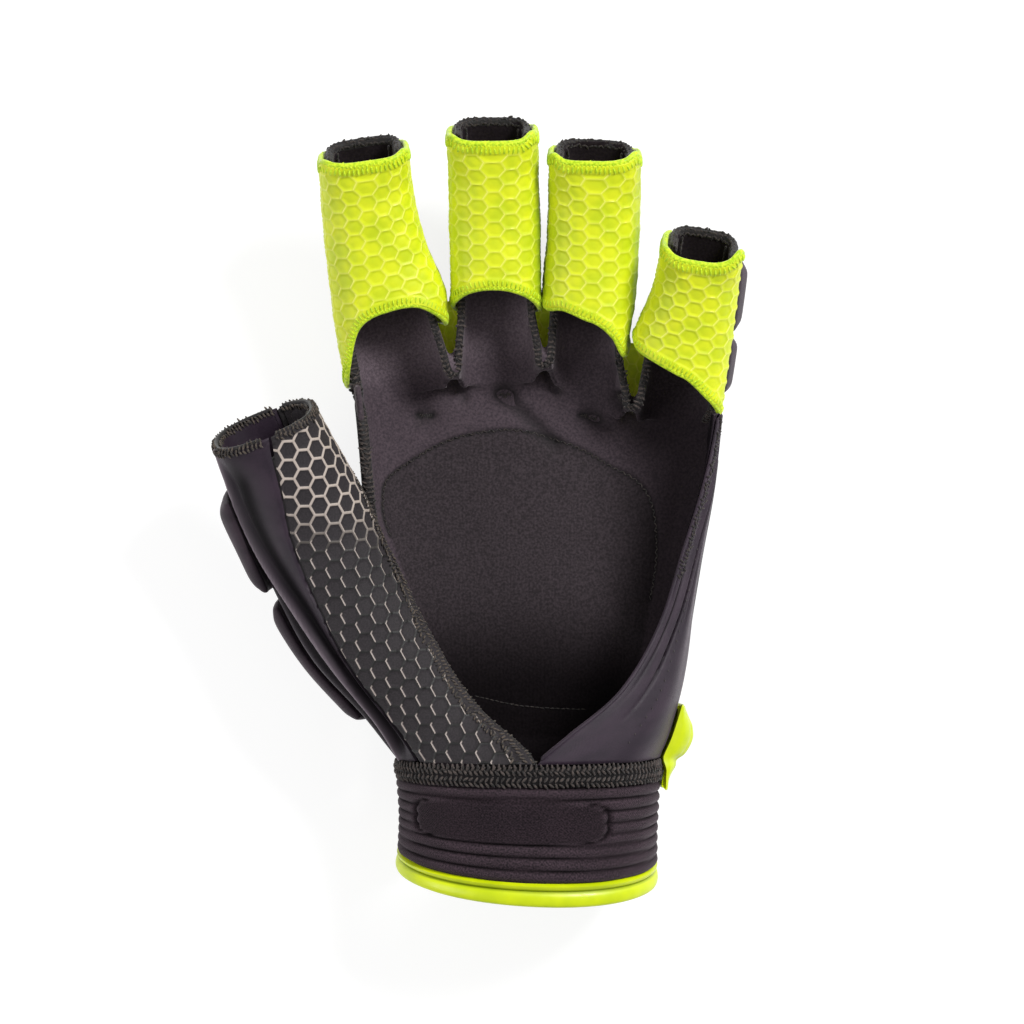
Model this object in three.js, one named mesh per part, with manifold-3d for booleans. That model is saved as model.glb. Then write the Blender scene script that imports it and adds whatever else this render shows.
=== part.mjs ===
// Open-palm field hockey glove for the left hand, lying on its padded back with the palm side up.
// Units are millimetres. X runs from the thumb side to the little-finger side, Y from the cuff to
// the fingertips, and Z from the surface it lies on up to the palm side. The origin is on the flat
// underside of the middle pad of the hand's back.
import * as THREE from 'three';
import { mergeVertices } from 'three/addons/utils/BufferGeometryUtils.js';
import Module from 'manifold-3d';

const { clamp, degToRad, lerp, radToDeg, smoothstep } = THREE.MathUtils;
const wasm = await Module();
wasm.setup();

// Cloth and foam
const GAP = 0.4; // clearance between neighbouring pieces
const LINING = 1.7; // padded lining cloth
const SLEEVE = 1.3; // grip cloth round the fingers
const PANEL = 1.6; // grip and side panels of the palm
const FOLD = 1.2; // depth of the long folds in the side panels
const PAD = 6.6; // foam pads on the hand's back
const PAD_EDGE = 1.4; // height of a pad's edge, before its crown
const FLOOR = 0; // the surface that the pads are pressed flat on

// The hand, in rings from the cuff to the knuckles. back and front are depths from the ring's
// middle, square is 2 for an ellipse and more for a boxier ring. left, right and open are the
// angles where the lining starts, where it meets the outer palm panel, and where that panel ends.
const HAND = [
  { y: -58, x: -0.6, z: 24.6, tilt: 0, half: 32.6, back: 23, front: 23, square: 2.1, left: 204, right: 352, open: 448 },
  { y: -50.5, x: -0.5, z: 25, tilt: 0, half: 33, back: 22.6, front: 23, square: 2.1, left: 204, right: 352, open: 447 },
  { y: -43, x: 0.8, z: 24.4, tilt: 0, half: 34.7, back: 20.4, front: 22.5, square: 2.2, left: 203, right: 352, open: 437 },
  { y: -32, x: 1.6, z: 23.6, tilt: 0, half: 37, back: 17.6, front: 21, square: 2.4, left: 203, right: 354, open: 419 },
  { y: -15, x: 1.8, z: 22.8, tilt: 0, half: 39.3, back: 16.4, front: 18, square: 2.6, left: 204, right: 355, open: 402 },
  { y: 2, x: 2.1, z: 22.4, tilt: 0, half: 41.8, back: 16, front: 16, square: 2.8, left: 190, right: 356, open: 394 },
  { y: 18, x: 2.5, z: 22.2, tilt: 1, half: 44.3, back: 16, front: 15, square: 3, left: 172, right: 357, open: 386 },
  { y: 36, x: 2.6, z: 22.2, tilt: 3, half: 46.2, back: 16, front: 14, square: 3.2, left: 168, right: 357, open: 374 },
  { y: 56, x: 2.6, z: 23, tilt: 6, half: 48.4, back: 16.6, front: 14, square: 3.2, left: 168, right: 357, open: 366 },
];
const HAND_START = -50;
const PALM_PANEL_END = 34;

// How far the lining reaches up between the fingers, by its place across the hand.
const WEBS = [
  { x: -46, y: 43 },
  { x: -21, y: 51 },
  { x: 3, y: 54.5 },
  { x: 26, y: 45.5 },
  { x: 50, y: 35 },
];

// The fingers. Each curls along an arc of the given length from its root at x, y, z, leaning by
// lean degrees to the thumb side and bowing sideways by bow. crotch is where the lining's side
// walls are whole. wrap and pad are the arcs of the sleeve and of the foam pads.
const FINGERS = [
  { name: 'index', x: -31.2, y: 34, z: 20, lean: 8.7, bow: -1.4, length: 69, tilt: [4, 27], half: [13.2, 11.1],
    back: [11.6, 9.2], front: [11, 9.6], crotch: 15, wrap: [-40, 220], pad: [228, 312], height: 4.6 },
  { name: 'middle', x: -8.7, y: 38, z: 18.4, lean: 0.6, bow: 0.4, length: 69.5, tilt: [4, 27], half: [11.6, 11.1],
    back: [11.6, 9.2], front: [11, 9.6], crotch: 16, wrap: [-40, 220], pad: [228, 312], height: 4.6 },
  { name: 'ring', x: 13.7, y: 38, z: 18.4, lean: -2.2, bow: 0.6, length: 64, tilt: [4, 27], half: [11.6, 11.3],
    back: [11.6, 9.2], front: [11, 9.6], crotch: 16, wrap: [-40, 220], pad: [228, 312], height: 4.6 },
  { name: 'little', x: 34, y: 28, z: 20.4, lean: -10.4, bow: 0.5, length: 52, tilt: [4, 32], half: [12.8, 10.2],
    back: [11.9, 9.2], front: [10.6, 9.2], crotch: 14, wrap: [14, 220], pad: [236, 366], height: 3.6 },
];

// The sleeves' lower edges (hem), as lengths along the finger at angles round it, and how far their
// upper edges (mouth) reach beyond the finger's length.
const SLEEVE_ANGLES = [-40, 0, 30, 60, 90, 120, 150, 180, 220];
const SLEEVES = {
  index: { hem: [18, 26.5, 29.6, 31.8, 31.2, 27.3, 17.5, 12, 12], mouth: [0, 1.5, 3.2, 2.5, 2.5, 3, 3.4, 1.5, 0] },
  middle: { hem: [18, 25.5, 28.4, 31.2, 32.8, 31.8, 29.6, 26.5, 18], mouth: [0, 2, 4, 2.7, 2.4, 2.6, 3.2, 1.5, 0] },
  ring: { hem: [9, 11, 14.5, 20, 24.4, 26.5, 26.3, 25.5, 19], mouth: [0, 2, 5, 3.8, 3, 2.9, 3.7, 1.5, 0] },
  little: { hem: [9, 9, 12.8, 16.6, 21, 23.3, 23.5, 20, 14], mouth: [0, 3.5, 5.5, 3.3, 1.7, 1.6, 1.8, 1, 0] },
};
const CHANNEL_START = 7; // length at which a finger's channel leaves the hand's back
const CHANNEL_LIP = 2.2; // how far the lining shows beyond the sleeve
const LINING_SIDE = 100; // degrees from the finger's back to the top of the lining's side wall
const LINING_ROOT = 58; // the same at the root, where the side wall fades into the hand

// The thumb and the ball of the thumb, in rings from the cuff to the thumb's mouth. edge is the
// angle of the palm opening's edge, seam the seam between grip and side panels, and end the
// angle where the side panel ends.
const THUMB = [
  { at: 0, x: -0.5, y: -49.9, z: 25, lean: 0, tilt: 0, half: 33, deep: 22.9, square: 2.1, edge: 88, seam: 145, end: 203 },
  { at: 1, x: -22.2, y: -37.5, z: 25.5, lean: 5, tilt: 6, half: 19.6, deep: 17.4, square: 2.1, edge: 57, seam: 128, end: 232 },
  { at: 2, x: -38, y: -20.8, z: 27, lean: 14, tilt: 12, half: 17, deep: 15.4, square: 2.1, edge: 36, seam: 117, end: 258 },
  { at: 3, x: -48.6, y: -4, z: 28.6, lean: 22, tilt: 17, half: 15.6, deep: 13.8, square: 2.1, edge: 12, seam: 113, end: 280 },
  { at: 4, x: -56, y: 11, z: 31.2, lean: 26, tilt: 20, half: 15.2, deep: 12.6, square: 2.2, edge: -10, seam: 108, end: 283 },
  { at: 5, x: -60.6, y: 21, z: 34.8, lean: 25, tilt: 20, half: 14.6, deep: 12, square: 2.3, edge: -66, seam: 97, end: 296 },
  { at: 6, x: -65.9, y: 33.3, z: 39.6, lean: 22, tilt: 19, half: 13.4, deep: 11.6, square: 2.5, edge: -74, seam: 88, end: 296 },
];
const SEAM_GAP = 1.6; // degrees between the thumb's panels
const THUMB_PADS = [
  { name: 'thumb_pad_near', from: 0.95, to: 2.96, angles: [179, 232], height: 4.1 },
  { name: 'thumb_pad_far', from: 3.12, to: 5.08, angles: [172, 238], height: 4 },
];
const THUMB_PAD_GAP = 1; // the pads stand clear of the creases beside them

// The cuff, from its top seam (0) to its lower rim (1). It sinks to the surface and its rings tip
// and turn, so that it is longer on the palm side and at the little-finger side.
const CUFF = [
  { at: 0, x: -0.5, y: -50.7, z: 25, lean: 0, tilt: 0, half: 32.6, back: 22.8, front: 22.8, square: 2.1 },
  { at: 0.5, x: -0.4, y: -64.8, z: 23.2, lean: -1.5, tilt: 7, half: 31.8, back: 22.2, front: 22, square: 2.1 },
  { at: 1, x: -0.8, y: -79, z: 21, lean: -3.6, tilt: 16, half: 31.9, back: 21.8, front: 22, square: 2.1 },
];
const CUFF_SEAM = { from: 0.025, to: 0.175, thickness: 2.6, proud: 1.1 };
const CUFF_BAND = { from: 0.195, to: 0.82, thickness: 2.2, ribs: 5, rib: 0.9 };
const CUFF_PLATE = { angles: [62, 128], from: 0.2, to: 0.62 }; // a smooth place in the ribs
const CUFF_BINDING = { from: 0.84, to: 1.01, thickness: 3.2, proud: 1.1 };

// Foam pads on the hand's back, by their place on it.
const HAND_PADS = [
  { name: 'knuckle_pad_index', x: [-36.5, -22], y: [20, 39.5] },
  { name: 'knuckle_pad_middle', x: [-19.5, -1.5], y: [21.5, 46] },
  { name: 'knuckle_pad_ring', x: [1, 19.5], y: [20.5, 45] },
  { name: 'knuckle_pad_little', x: [22, 39], y: [13, 35] },
  { name: 'hand_pad_inner', x: [-30, -12], y: [-28, 17] },
  { name: 'hand_pad_middle', x: [-9.5, 10], y: [-31, 18] },
  { name: 'hand_pad_outer', x: [12.5, 31], y: [-28, 10] },
];

// The wrist strap across the back, and the moulded tab at its end.
const STRAP = { angles: [213, 334], y: [-49.5, -34], thickness: 1.6, offset: 0.8 };
const TAB_ANGLES = [338, 366];
const TAB = [
  { y: -57.5, out: 2.6 },
  { y: -54.4, out: 3.2 },
  { y: -51.5, out: 4.7 },
  { y: -48.8, out: 4.7 },
  { y: -46.2, out: 6 },
  { y: -43, out: 6.4 },
  { y: -39.8, out: 5.2 },
  { y: -37.6, out: 3.2 },
  { y: -35.6, out: 1.6 },
];

const black = new THREE.MeshStandardMaterial({ color: 0x211e22, roughness: 0.82, metalness: 0 });
const smoothBlack = new THREE.MeshStandardMaterial({ color: 0x1d1a20, roughness: 0.6, metalness: 0 });
const gripBlack = new THREE.MeshStandardMaterial({ color: 0x2a272a, roughness: 0.55, metalness: 0 });
const foamBlack = new THREE.MeshStandardMaterial({ color: 0x242226, roughness: 0.7, metalness: 0 });
const lime = new THREE.MeshStandardMaterial({ color: 0xcdee1c, roughness: 0.55, metalness: 0 });
const limeRubber = new THREE.MeshStandardMaterial({ color: 0xc9ef05, roughness: 0.4, metalness: 0 });

const glove = new THREE.Group();

function addMesh(parent, name, geometry, material) {
  const mesh = new THREE.Mesh(geometry, material);
  mesh.name = name;
  parent.add(mesh);
  return mesh;
}

// A row between the rows of a table, each number following a smooth curve through its column.
function rowAt(rows, key, value) {
  let i = 0;
  while (i < rows.length - 2 && value > rows[i + 1][key]) i += 1;
  const [before, low, high, after] = [i - 1, i, i + 1, i + 2].map((n) => rows[clamp(n, 0, rows.length - 1)]);
  const t = (value - low[key]) / (high[key] - low[key]);
  const row = {};
  for (const column of Object.keys(low)) {
    const rise = high[column] - low[column];
    const slopeIn = (high[column] - before[column]) / 2;
    const slopeOut = (after[column] - low[column]) / 2;
    const bend = slopeIn + slopeOut - 2 * rise;
    row[column] = low[column] + t * (slopeIn + t * (rise - slopeIn - bend + t * bend));
  }
  return row;
}

// The point of a ring at an angle: 0 points to the little-finger side and 90 to the palm side.
// lean turns the ring about Z, and tilt tips it back so that its palm side comes towards the cuff.
function ringPoint(ring, angle) {
  const { x, y, z, half, front, back, lean = 0, tilt = 0, square = 2 } = ring;
  const cos = Math.cos(degToRad(angle));
  const sin = Math.sin(degToRad(angle));
  const across = Math.sign(cos) * Math.abs(cos) ** (2 / square) * half;
  const depth = Math.sign(sin) * Math.abs(sin) ** (2 / square) * (sin > 0 ? front : back);
  const [leanCos, leanSin] = [Math.cos(degToRad(lean)), Math.sin(degToRad(lean))];
  const slide = -Math.sin(degToRad(tilt)) * depth;
  return new THREE.Vector3(
    x + leanCos * across - leanSin * slide,
    y + leanSin * across + leanCos * slide,
    z + Math.cos(degToRad(tilt)) * depth,
  );
}

// A wall on a face: a closed solid between two distances from the face, counted outwards. face
// takes u round the ring and v along it. A closed wall joins its last column to its first.
function wall(face, { across, along, inner, outer, closed = false, floor = -Infinity }) {
  const step = 1e-3;
  const columns = closed ? across : across + 1;
  const points = [];
  const layers = [outer, inner].map((distance) => (typeof distance === 'function' ? distance : () => distance));
  for (const distance of layers) {
    for (let j = 0; j <= along; j += 1) {
      for (let i = 0; i < columns; i += 1) {
        const [u, v] = [i / across, j / along];
        const alongU = face(u + step, v).sub(face(u - step, v));
        const alongV = face(u, v + step).sub(face(u, v - step));
        const outwards = alongV.cross(alongU).normalize();
        const point = face(u, v).addScaledVector(outwards, distance(u, v));
        points.push(point.x, point.y, Math.max(point.z, floor));
      }
    }
  }
  const at = (layer, i, j) => layer * columns * (along + 1) + j * columns + (i % columns);
  const index = [];
  const quad = (a, b, c, d) => index.push(a, b, c, a, c, d);
  for (let j = 0; j < along; j += 1) {
    for (let i = 0; i < across; i += 1) {
      quad(at(0, i, j), at(0, i, j + 1), at(0, i + 1, j + 1), at(0, i + 1, j));
      quad(at(1, i, j), at(1, i + 1, j), at(1, i + 1, j + 1), at(1, i, j + 1));
    }
  }
  for (let i = 0; i < across; i += 1) {
    quad(at(0, i, 0), at(0, i + 1, 0), at(1, i + 1, 0), at(1, i, 0));
    quad(at(0, i, along), at(1, i, along), at(1, i + 1, along), at(0, i + 1, along));
  }
  for (let j = 0; j < along && !closed; j += 1) {
    quad(at(0, 0, j), at(1, 0, j), at(1, 0, j + 1), at(0, 0, j + 1));
    quad(at(0, across, j), at(0, across, j + 1), at(1, across, j + 1), at(1, across, j));
  }
  const geometry = new THREE.BufferGeometry();
  geometry.setAttribute('position', new THREE.Float32BufferAttribute(points, 3));
  geometry.setIndex(index);
  geometry.computeVertexNormals();
  return geometry;
}

// The height of a foam pad: a low edge all round and a crown that is nearly flat.
function crown(height, gap = GAP) {
  const dome = (t) => 1 - Math.abs(2 * clamp(t, 0, 1) - 1) ** 5;
  return (u, v) => gap + PAD_EDGE + (height - PAD_EDGE) * Math.min(dome(u), dome(v));
}

function solidOf(geometry) {
  const bare = geometry.clone();
  bare.deleteAttribute('normal');
  const merged = mergeVertices(bare, 1e-4);
  return new wasm.Manifold(new wasm.Mesh({
    numProp: 3,
    vertProperties: merged.attributes.position.array,
    triVerts: new Uint32Array(merged.index.array),
  }));
}

function geometryOf(solid) {
  const { vertProperties, triVerts } = solid.getMesh();
  const geometry = new THREE.BufferGeometry();
  geometry.setAttribute('position', new THREE.BufferAttribute(vertProperties, 3));
  geometry.setIndex(new THREE.BufferAttribute(triVerts, 1));
  geometry.computeVertexNormals();
  return geometry;
}

// The hand's back
function handFace(angle, y) {
  return ringPoint(rowAt(HAND, 'y', y), angle);
}

// The angle at which the back of the hand is at a place across it.
function backAngle(x, y) {
  const ring = rowAt(HAND, 'y', y);
  const share = (x - ring.x) / ring.half;
  return 270 + Math.sign(share) * radToDeg(Math.asin(clamp(Math.abs(share), 0, 1) ** (ring.square / 2)));
}

function liningBody() {
  const face = (u, v) => {
    const angle = lerp(168, 357, u);
    const top = rowAt(WEBS, 'x', clamp(handFace(angle, 44).x, -46, 50)).y;
    const y = lerp(HAND_START, top, v);
    const { left, right } = rowAt(HAND, 'y', y);
    return handFace(lerp(left, right, u), y);
  };
  return wall(face, { across: 26, along: 10, inner: -LINING, outer: 0 });
}

// A finger's ring at a length along it, in the finger's own frame.
function fingerRing(finger, length) {
  const share = length / finger.length;
  const tilt = lerp(...finger.tilt, share);
  const [start, now] = [degToRad(finger.tilt[0]), degToRad(tilt)];
  const radius = finger.length / degToRad(finger.tilt[1] - finger.tilt[0]);
  return {
    x: finger.bow * 4 * share * (1 - share),
    y: radius * (Math.sin(now) - Math.sin(start)),
    z: radius * (Math.cos(start) - Math.cos(now)),
    tilt,
    half: lerp(...finger.half, share),
    back: lerp(...finger.back, share),
    front: lerp(...finger.front, share),
    square: 2.5,
  };
}

function liningRing(finger, length) {
  const ring = fingerRing(finger, length);
  return { ...ring, half: ring.half - SLEEVE - GAP };
}

function fingerChannel(finger) {
  const face = (u, v) => {
    const length = lerp(CHANNEL_START, finger.length + CHANNEL_LIP, v);
    const side = lerp(LINING_ROOT, LINING_SIDE, smoothstep(length, CHANNEL_START, finger.crotch));
    return ringPoint(liningRing(finger, length), 270 + lerp(-side, side, u));
  };
  return wall(face, { across: 10, along: 8, inner: -LINING, outer: 0 });
}

function sleeveEdge(finger, edge, angle) {
  const rows = SLEEVE_ANGLES.map((at, i) => ({ at, reach: SLEEVES[finger.name][edge][i] }));
  return rowAt(rows, 'at', angle).reach;
}

function fingerSleeve(finger) {
  const face = (u, v) => {
    const angle = lerp(...finger.wrap, u);
    const top = finger.length + sleeveEdge(finger, 'mouth', angle);
    const ring = fingerRing(finger, lerp(sleeveEdge(finger, 'hem', angle), top, v));
    return ringPoint({ ...ring, back: ring.back + GAP + SLEEVE }, angle);
  };
  return wall(face, { across: 16, along: 5, inner: -SLEEVE, outer: 0 });
}

function fingerPad(finger, from, to) {
  const face = (u, v) => ringPoint(liningRing(finger, lerp(from, to, v)), lerp(...finger.pad, u));
  const across = Math.round((finger.pad[1] - finger.pad[0]) / 16);
  return wall(face, { across, along: 4, inner: GAP, outer: crown(finger.height) });
}

let lining = solidOf(liningBody());
for (const finger of FINGERS) {
  const group = new THREE.Group();
  group.position.set(finger.x, finger.y, finger.z);
  group.rotation.z = degToRad(finger.lean);
  group.updateMatrix();
  glove.add(group);
  const { name, length, crotch } = finger;
  const middle = lerp(crotch, length, 0.45);
  addMesh(group, `${name}_sleeve`, fingerSleeve(finger), lime);
  addMesh(group, `${name}_pad_near`, fingerPad(finger, crotch + 2, middle - 0.8), foamBlack);
  addMesh(group, `${name}_pad_far`, fingerPad(finger, middle + 0.8, length - 2), foamBlack);
  lining = lining.add(solidOf(fingerChannel(finger).applyMatrix4(group.matrix)));
}
addMesh(glove, 'lining', geometryOf(lining), black);

for (const { name, x, y } of HAND_PADS) {
  const face = (u, v) => {
    const along = lerp(...y, v);
    return handFace(backAngle(lerp(...x, u), along), along);
  };
  addMesh(glove, name, wall(face, { across: 6, along: 5, inner: GAP, outer: crown(PAD), floor: FLOOR }), foamBlack);
}

// The outer palm panel, from the lining's seam up to the edge of the palm opening
{
  const face = (u, v) => {
    const y = lerp(HAND_START, PALM_PANEL_END, v);
    const { right, open } = rowAt(HAND, 'y', y);
    return handFace(lerp(right + 1, open, u), y);
  };
  const outer = (u) => -FOLD * Math.sin(2 * Math.PI * clamp(u, 0, 1)) ** 2;
  const inner = (u, v) => outer(u, v) - PANEL;
  addMesh(glove, 'outer_palm_panel', wall(face, { across: 12, along: 12, inner, outer }), smoothBlack);
}

// The thumb's grip panel and side panel
function thumbRing(at) {
  const ring = rowAt(THUMB, 'at', at);
  return { ...ring, front: ring.deep, back: ring.deep };
}

// The side panel's back edge lies along the lining's edge, up to the crotch of the thumb.
function thumbFace(angle, at) {
  const ring = thumbRing(at);
  const point = ringPoint(ring, angle);
  const end = ringPoint(ring, ring.end);
  const { left } = rowAt(HAND, 'y', end.y);
  const pull = smoothstep(angle, lerp(ring.seam, ring.end, 0.4), ring.end) * (1 - smoothstep(at, 3.3, 4.7));
  return point.addScaledVector(handFace(left - 1.2, end.y).sub(end), pull);
}

{
  const last = THUMB.length - 1;
  const grip = (u, v) => {
    const ring = thumbRing(v * last);
    return thumbFace(lerp(ring.edge, ring.seam - SEAM_GAP / 2, u), v * last);
  };
  addMesh(glove, 'thumb_grip_panel', wall(grip, { across: 9, along: 13, inner: -PANEL, outer: 0 }), gripBlack);
  const side = (u, v) => {
    const ring = thumbRing(v * last);
    const end = Math.min(ring.end, ring.edge + 360) - 1.6 * SEAM_GAP;
    return thumbFace(lerp(ring.seam + SEAM_GAP / 2, end, u), v * last);
  };
  const outer = (u) => -FOLD * Math.sin(Math.PI * clamp(u / 0.42, 0, 1)) ** 2;
  const inner = (u, v) => outer(u, v) - PANEL;
  addMesh(glove, 'thumb_side_panel', wall(side, { across: 12, along: 12, inner, outer }), smoothBlack);
}

for (const { name, from, to, angles, height } of THUMB_PADS) {
  const face = (u, v) => thumbFace(lerp(...angles, u), lerp(from, to, v));
  addMesh(glove, name, wall(face, { across: 5, along: 5, inner: THUMB_PAD_GAP, outer: crown(height, THUMB_PAD_GAP), floor: FLOOR }), foamBlack);
}

// The cuff: its top seam, ribbed band and binding
function cuffWall({ from, to, thickness }, outer, { across, along }) {
  const face = (u, v) => ringPoint(rowAt(CUFF, 'at', lerp(from, to, 1 - v)), 360 * u);
  const inner = (u, v) => -thickness;
  return wall(face, { across, along, inner, outer, closed: true, floor: FLOOR });
}

function ribHeight(u, v) {
  const { angles, from, to } = CUFF_PLATE;
  const angle = 360 * u;
  const inPlate = smoothstep(angle, angles[0] - 4, angles[0] + 4) * (1 - smoothstep(angle, angles[1] - 4, angles[1] + 4))
    * smoothstep(1 - v, from - 0.05, from + 0.05) * (1 - smoothstep(1 - v, to - 0.05, to + 0.05));
  const ribs = Math.abs(Math.sin(Math.PI * CUFF_BAND.ribs * v));
  return CUFF_BAND.rib * lerp(ribs, 0.75, inPlate);
}

const bulge = (height) => (u, v) => height * Math.sin(Math.PI * clamp(v, 0, 1)) ** 0.5;
addMesh(glove, 'cuff_seam', cuffWall(CUFF_SEAM, bulge(CUFF_SEAM.proud), { across: 32, along: 2 }), black);
addMesh(glove, 'cuff_band', cuffWall(CUFF_BAND, ribHeight, { across: 28, along: 10 }), black);
addMesh(glove, 'cuff_binding', cuffWall(CUFF_BINDING, bulge(CUFF_BINDING.proud), { across: 36, along: 3 }), limeRubber);

// The wrist strap and its tab
{
  const face = (u, v) => handFace(lerp(...STRAP.angles, u), lerp(...STRAP.y, v));
  const outer = STRAP.offset + STRAP.thickness;
  addMesh(glove, 'wrist_strap', wall(face, { across: 14, along: 3, inner: STRAP.offset, outer, floor: FLOOR }), black);
}
{
  const face = (u, v) => handFace(lerp(...TAB_ANGLES, u), lerp(TAB[0].y, TAB[TAB.length - 1].y, v));
  const inner = (u, v) => lerp(CUFF_SEAM.proud + 0.8, GAP, smoothstep(v, 0.22, 0.4));
  const outer = (u, v) => {
    const { out } = rowAt(TAB, 'y', lerp(TAB[0].y, TAB[TAB.length - 1].y, v));
    return lerp(inner(u, v) + 0.8, out, Math.sin(Math.PI * clamp(u, 0, 1)) ** 0.6);
  };
  addMesh(glove, 'strap_tab', wall(face, { across: 6, along: 12, inner, outer }), limeRubber);
}

export default glove;
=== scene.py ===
import math
import bmesh
import bpy
import numpy as np
from mathutils import Matrix, Vector
from mathutils.bvhtree import BVHTree


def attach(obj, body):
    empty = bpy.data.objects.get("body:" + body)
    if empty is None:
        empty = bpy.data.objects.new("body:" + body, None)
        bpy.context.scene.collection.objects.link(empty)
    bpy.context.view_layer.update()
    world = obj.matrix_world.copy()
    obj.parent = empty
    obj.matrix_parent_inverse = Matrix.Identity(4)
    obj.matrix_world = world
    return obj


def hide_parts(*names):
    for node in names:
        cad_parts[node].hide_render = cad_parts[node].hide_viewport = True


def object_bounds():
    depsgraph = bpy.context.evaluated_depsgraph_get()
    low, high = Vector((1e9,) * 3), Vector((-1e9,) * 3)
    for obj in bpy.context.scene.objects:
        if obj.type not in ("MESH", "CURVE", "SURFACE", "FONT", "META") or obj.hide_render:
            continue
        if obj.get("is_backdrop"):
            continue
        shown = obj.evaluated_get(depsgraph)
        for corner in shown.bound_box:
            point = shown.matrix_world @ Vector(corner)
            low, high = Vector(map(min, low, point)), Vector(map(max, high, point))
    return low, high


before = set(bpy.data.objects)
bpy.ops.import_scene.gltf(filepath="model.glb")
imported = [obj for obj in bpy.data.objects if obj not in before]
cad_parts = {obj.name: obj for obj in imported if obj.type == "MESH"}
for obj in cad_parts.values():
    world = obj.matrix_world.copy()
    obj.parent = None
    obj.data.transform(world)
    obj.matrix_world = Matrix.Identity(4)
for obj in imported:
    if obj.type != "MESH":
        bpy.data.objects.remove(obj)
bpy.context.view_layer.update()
print("frame loaded:", len(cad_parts), "nodes")

# Every size below is in millimetres. X runs to the little-finger side, Y to the fingertips and
# Z up to the palm side. A piece is scaled to metres as its mesh is filled.
metre = 0.001
gap = 0.4
liningWall = 1.7
sleeveWall = 1.3
panelWall = 1.6


# The glove's rings, in the same tables as the solids
handRings = dict(
    y=[-58, -50.5, -43, -32, -15, 2, 18, 36, 56],
    x=[-0.6, -0.5, 0.8, 1.6, 1.8, 2.1, 2.5, 2.6, 2.6],
    z=[24.6, 25, 24.4, 23.6, 22.8, 22.4, 22.2, 22.2, 23],
    tilt=[0, 0, 0, 0, 0, 0, 1, 3, 6],
    half=[32.6, 33, 34.7, 37, 39.3, 41.8, 44.3, 46.2, 48.4],
    back=[23, 22.6, 20.4, 17.6, 16.4, 16, 16, 16, 16.6],
    front=[23, 23, 22.5, 21, 18, 16, 15, 14, 14],
    square=[2.1, 2.1, 2.2, 2.4, 2.6, 2.8, 3, 3.2, 3.2],
    left=[204, 204, 203, 203, 204, 190, 172, 168, 168],
    right=[352, 352, 352, 354, 355, 356, 357, 357, 357],
    open=[448, 447, 437, 419, 402, 394, 386, 374, 366],
)
webs = dict(x=[-46, -32, -21, -9, 3, 14, 26, 36, 50], y=[43, 46, 47, 50, 50, 47, 37.5, 37, 35])
handStart, palmPanelEnd = -50, 34

thumbRings = dict(
    at=[0, 1, 2, 3, 4, 5, 6],
    x=[-0.5, -22.2, -38, -48.6, -56, -60.6, -65.9],
    y=[-49.9, -37.5, -20.8, -4, 11, 21, 33.3],
    z=[25, 25.5, 27, 28.6, 31.2, 34.8, 39.6],
    lean=[0, 5, 14, 22, 26, 25, 22],
    tilt=[0, 6, 12, 17, 20, 20, 19],
    half=[33, 19.6, 17, 15.6, 15.2, 14.6, 13.4],
    deep=[22.9, 17.4, 15.4, 13.8, 12.6, 12, 11.6],
    square=[2.1, 2.1, 2.1, 2.1, 2.2, 2.3, 2.5],
    edge=[88, 57, 36, 12, -10, -66, -74],
    seam=[145, 128, 117, 113, 108, 97, 88],
    ridge=[165, 146, 136, 147, 168, 175, 176],
    end=[203, 232, 258, 280, 283, 296, 296],
)
thumbEnd = 6
seamGap = 1.6

cuffRings = dict(
    at=[0, 0.5, 1],
    x=[-0.5, -0.4, -0.8],
    y=[-50.7, -64.8, -79],
    z=[25, 23.2, 21],
    lean=[0, -1.5, -3.6],
    tilt=[0, 7, 16],
    half=[32.6, 31.8, 31.9],
    back=[22.8, 22.2, 21.8],
    front=[22.8, 22, 22],
    square=[2.1, 2.1, 2.1],
)

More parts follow.
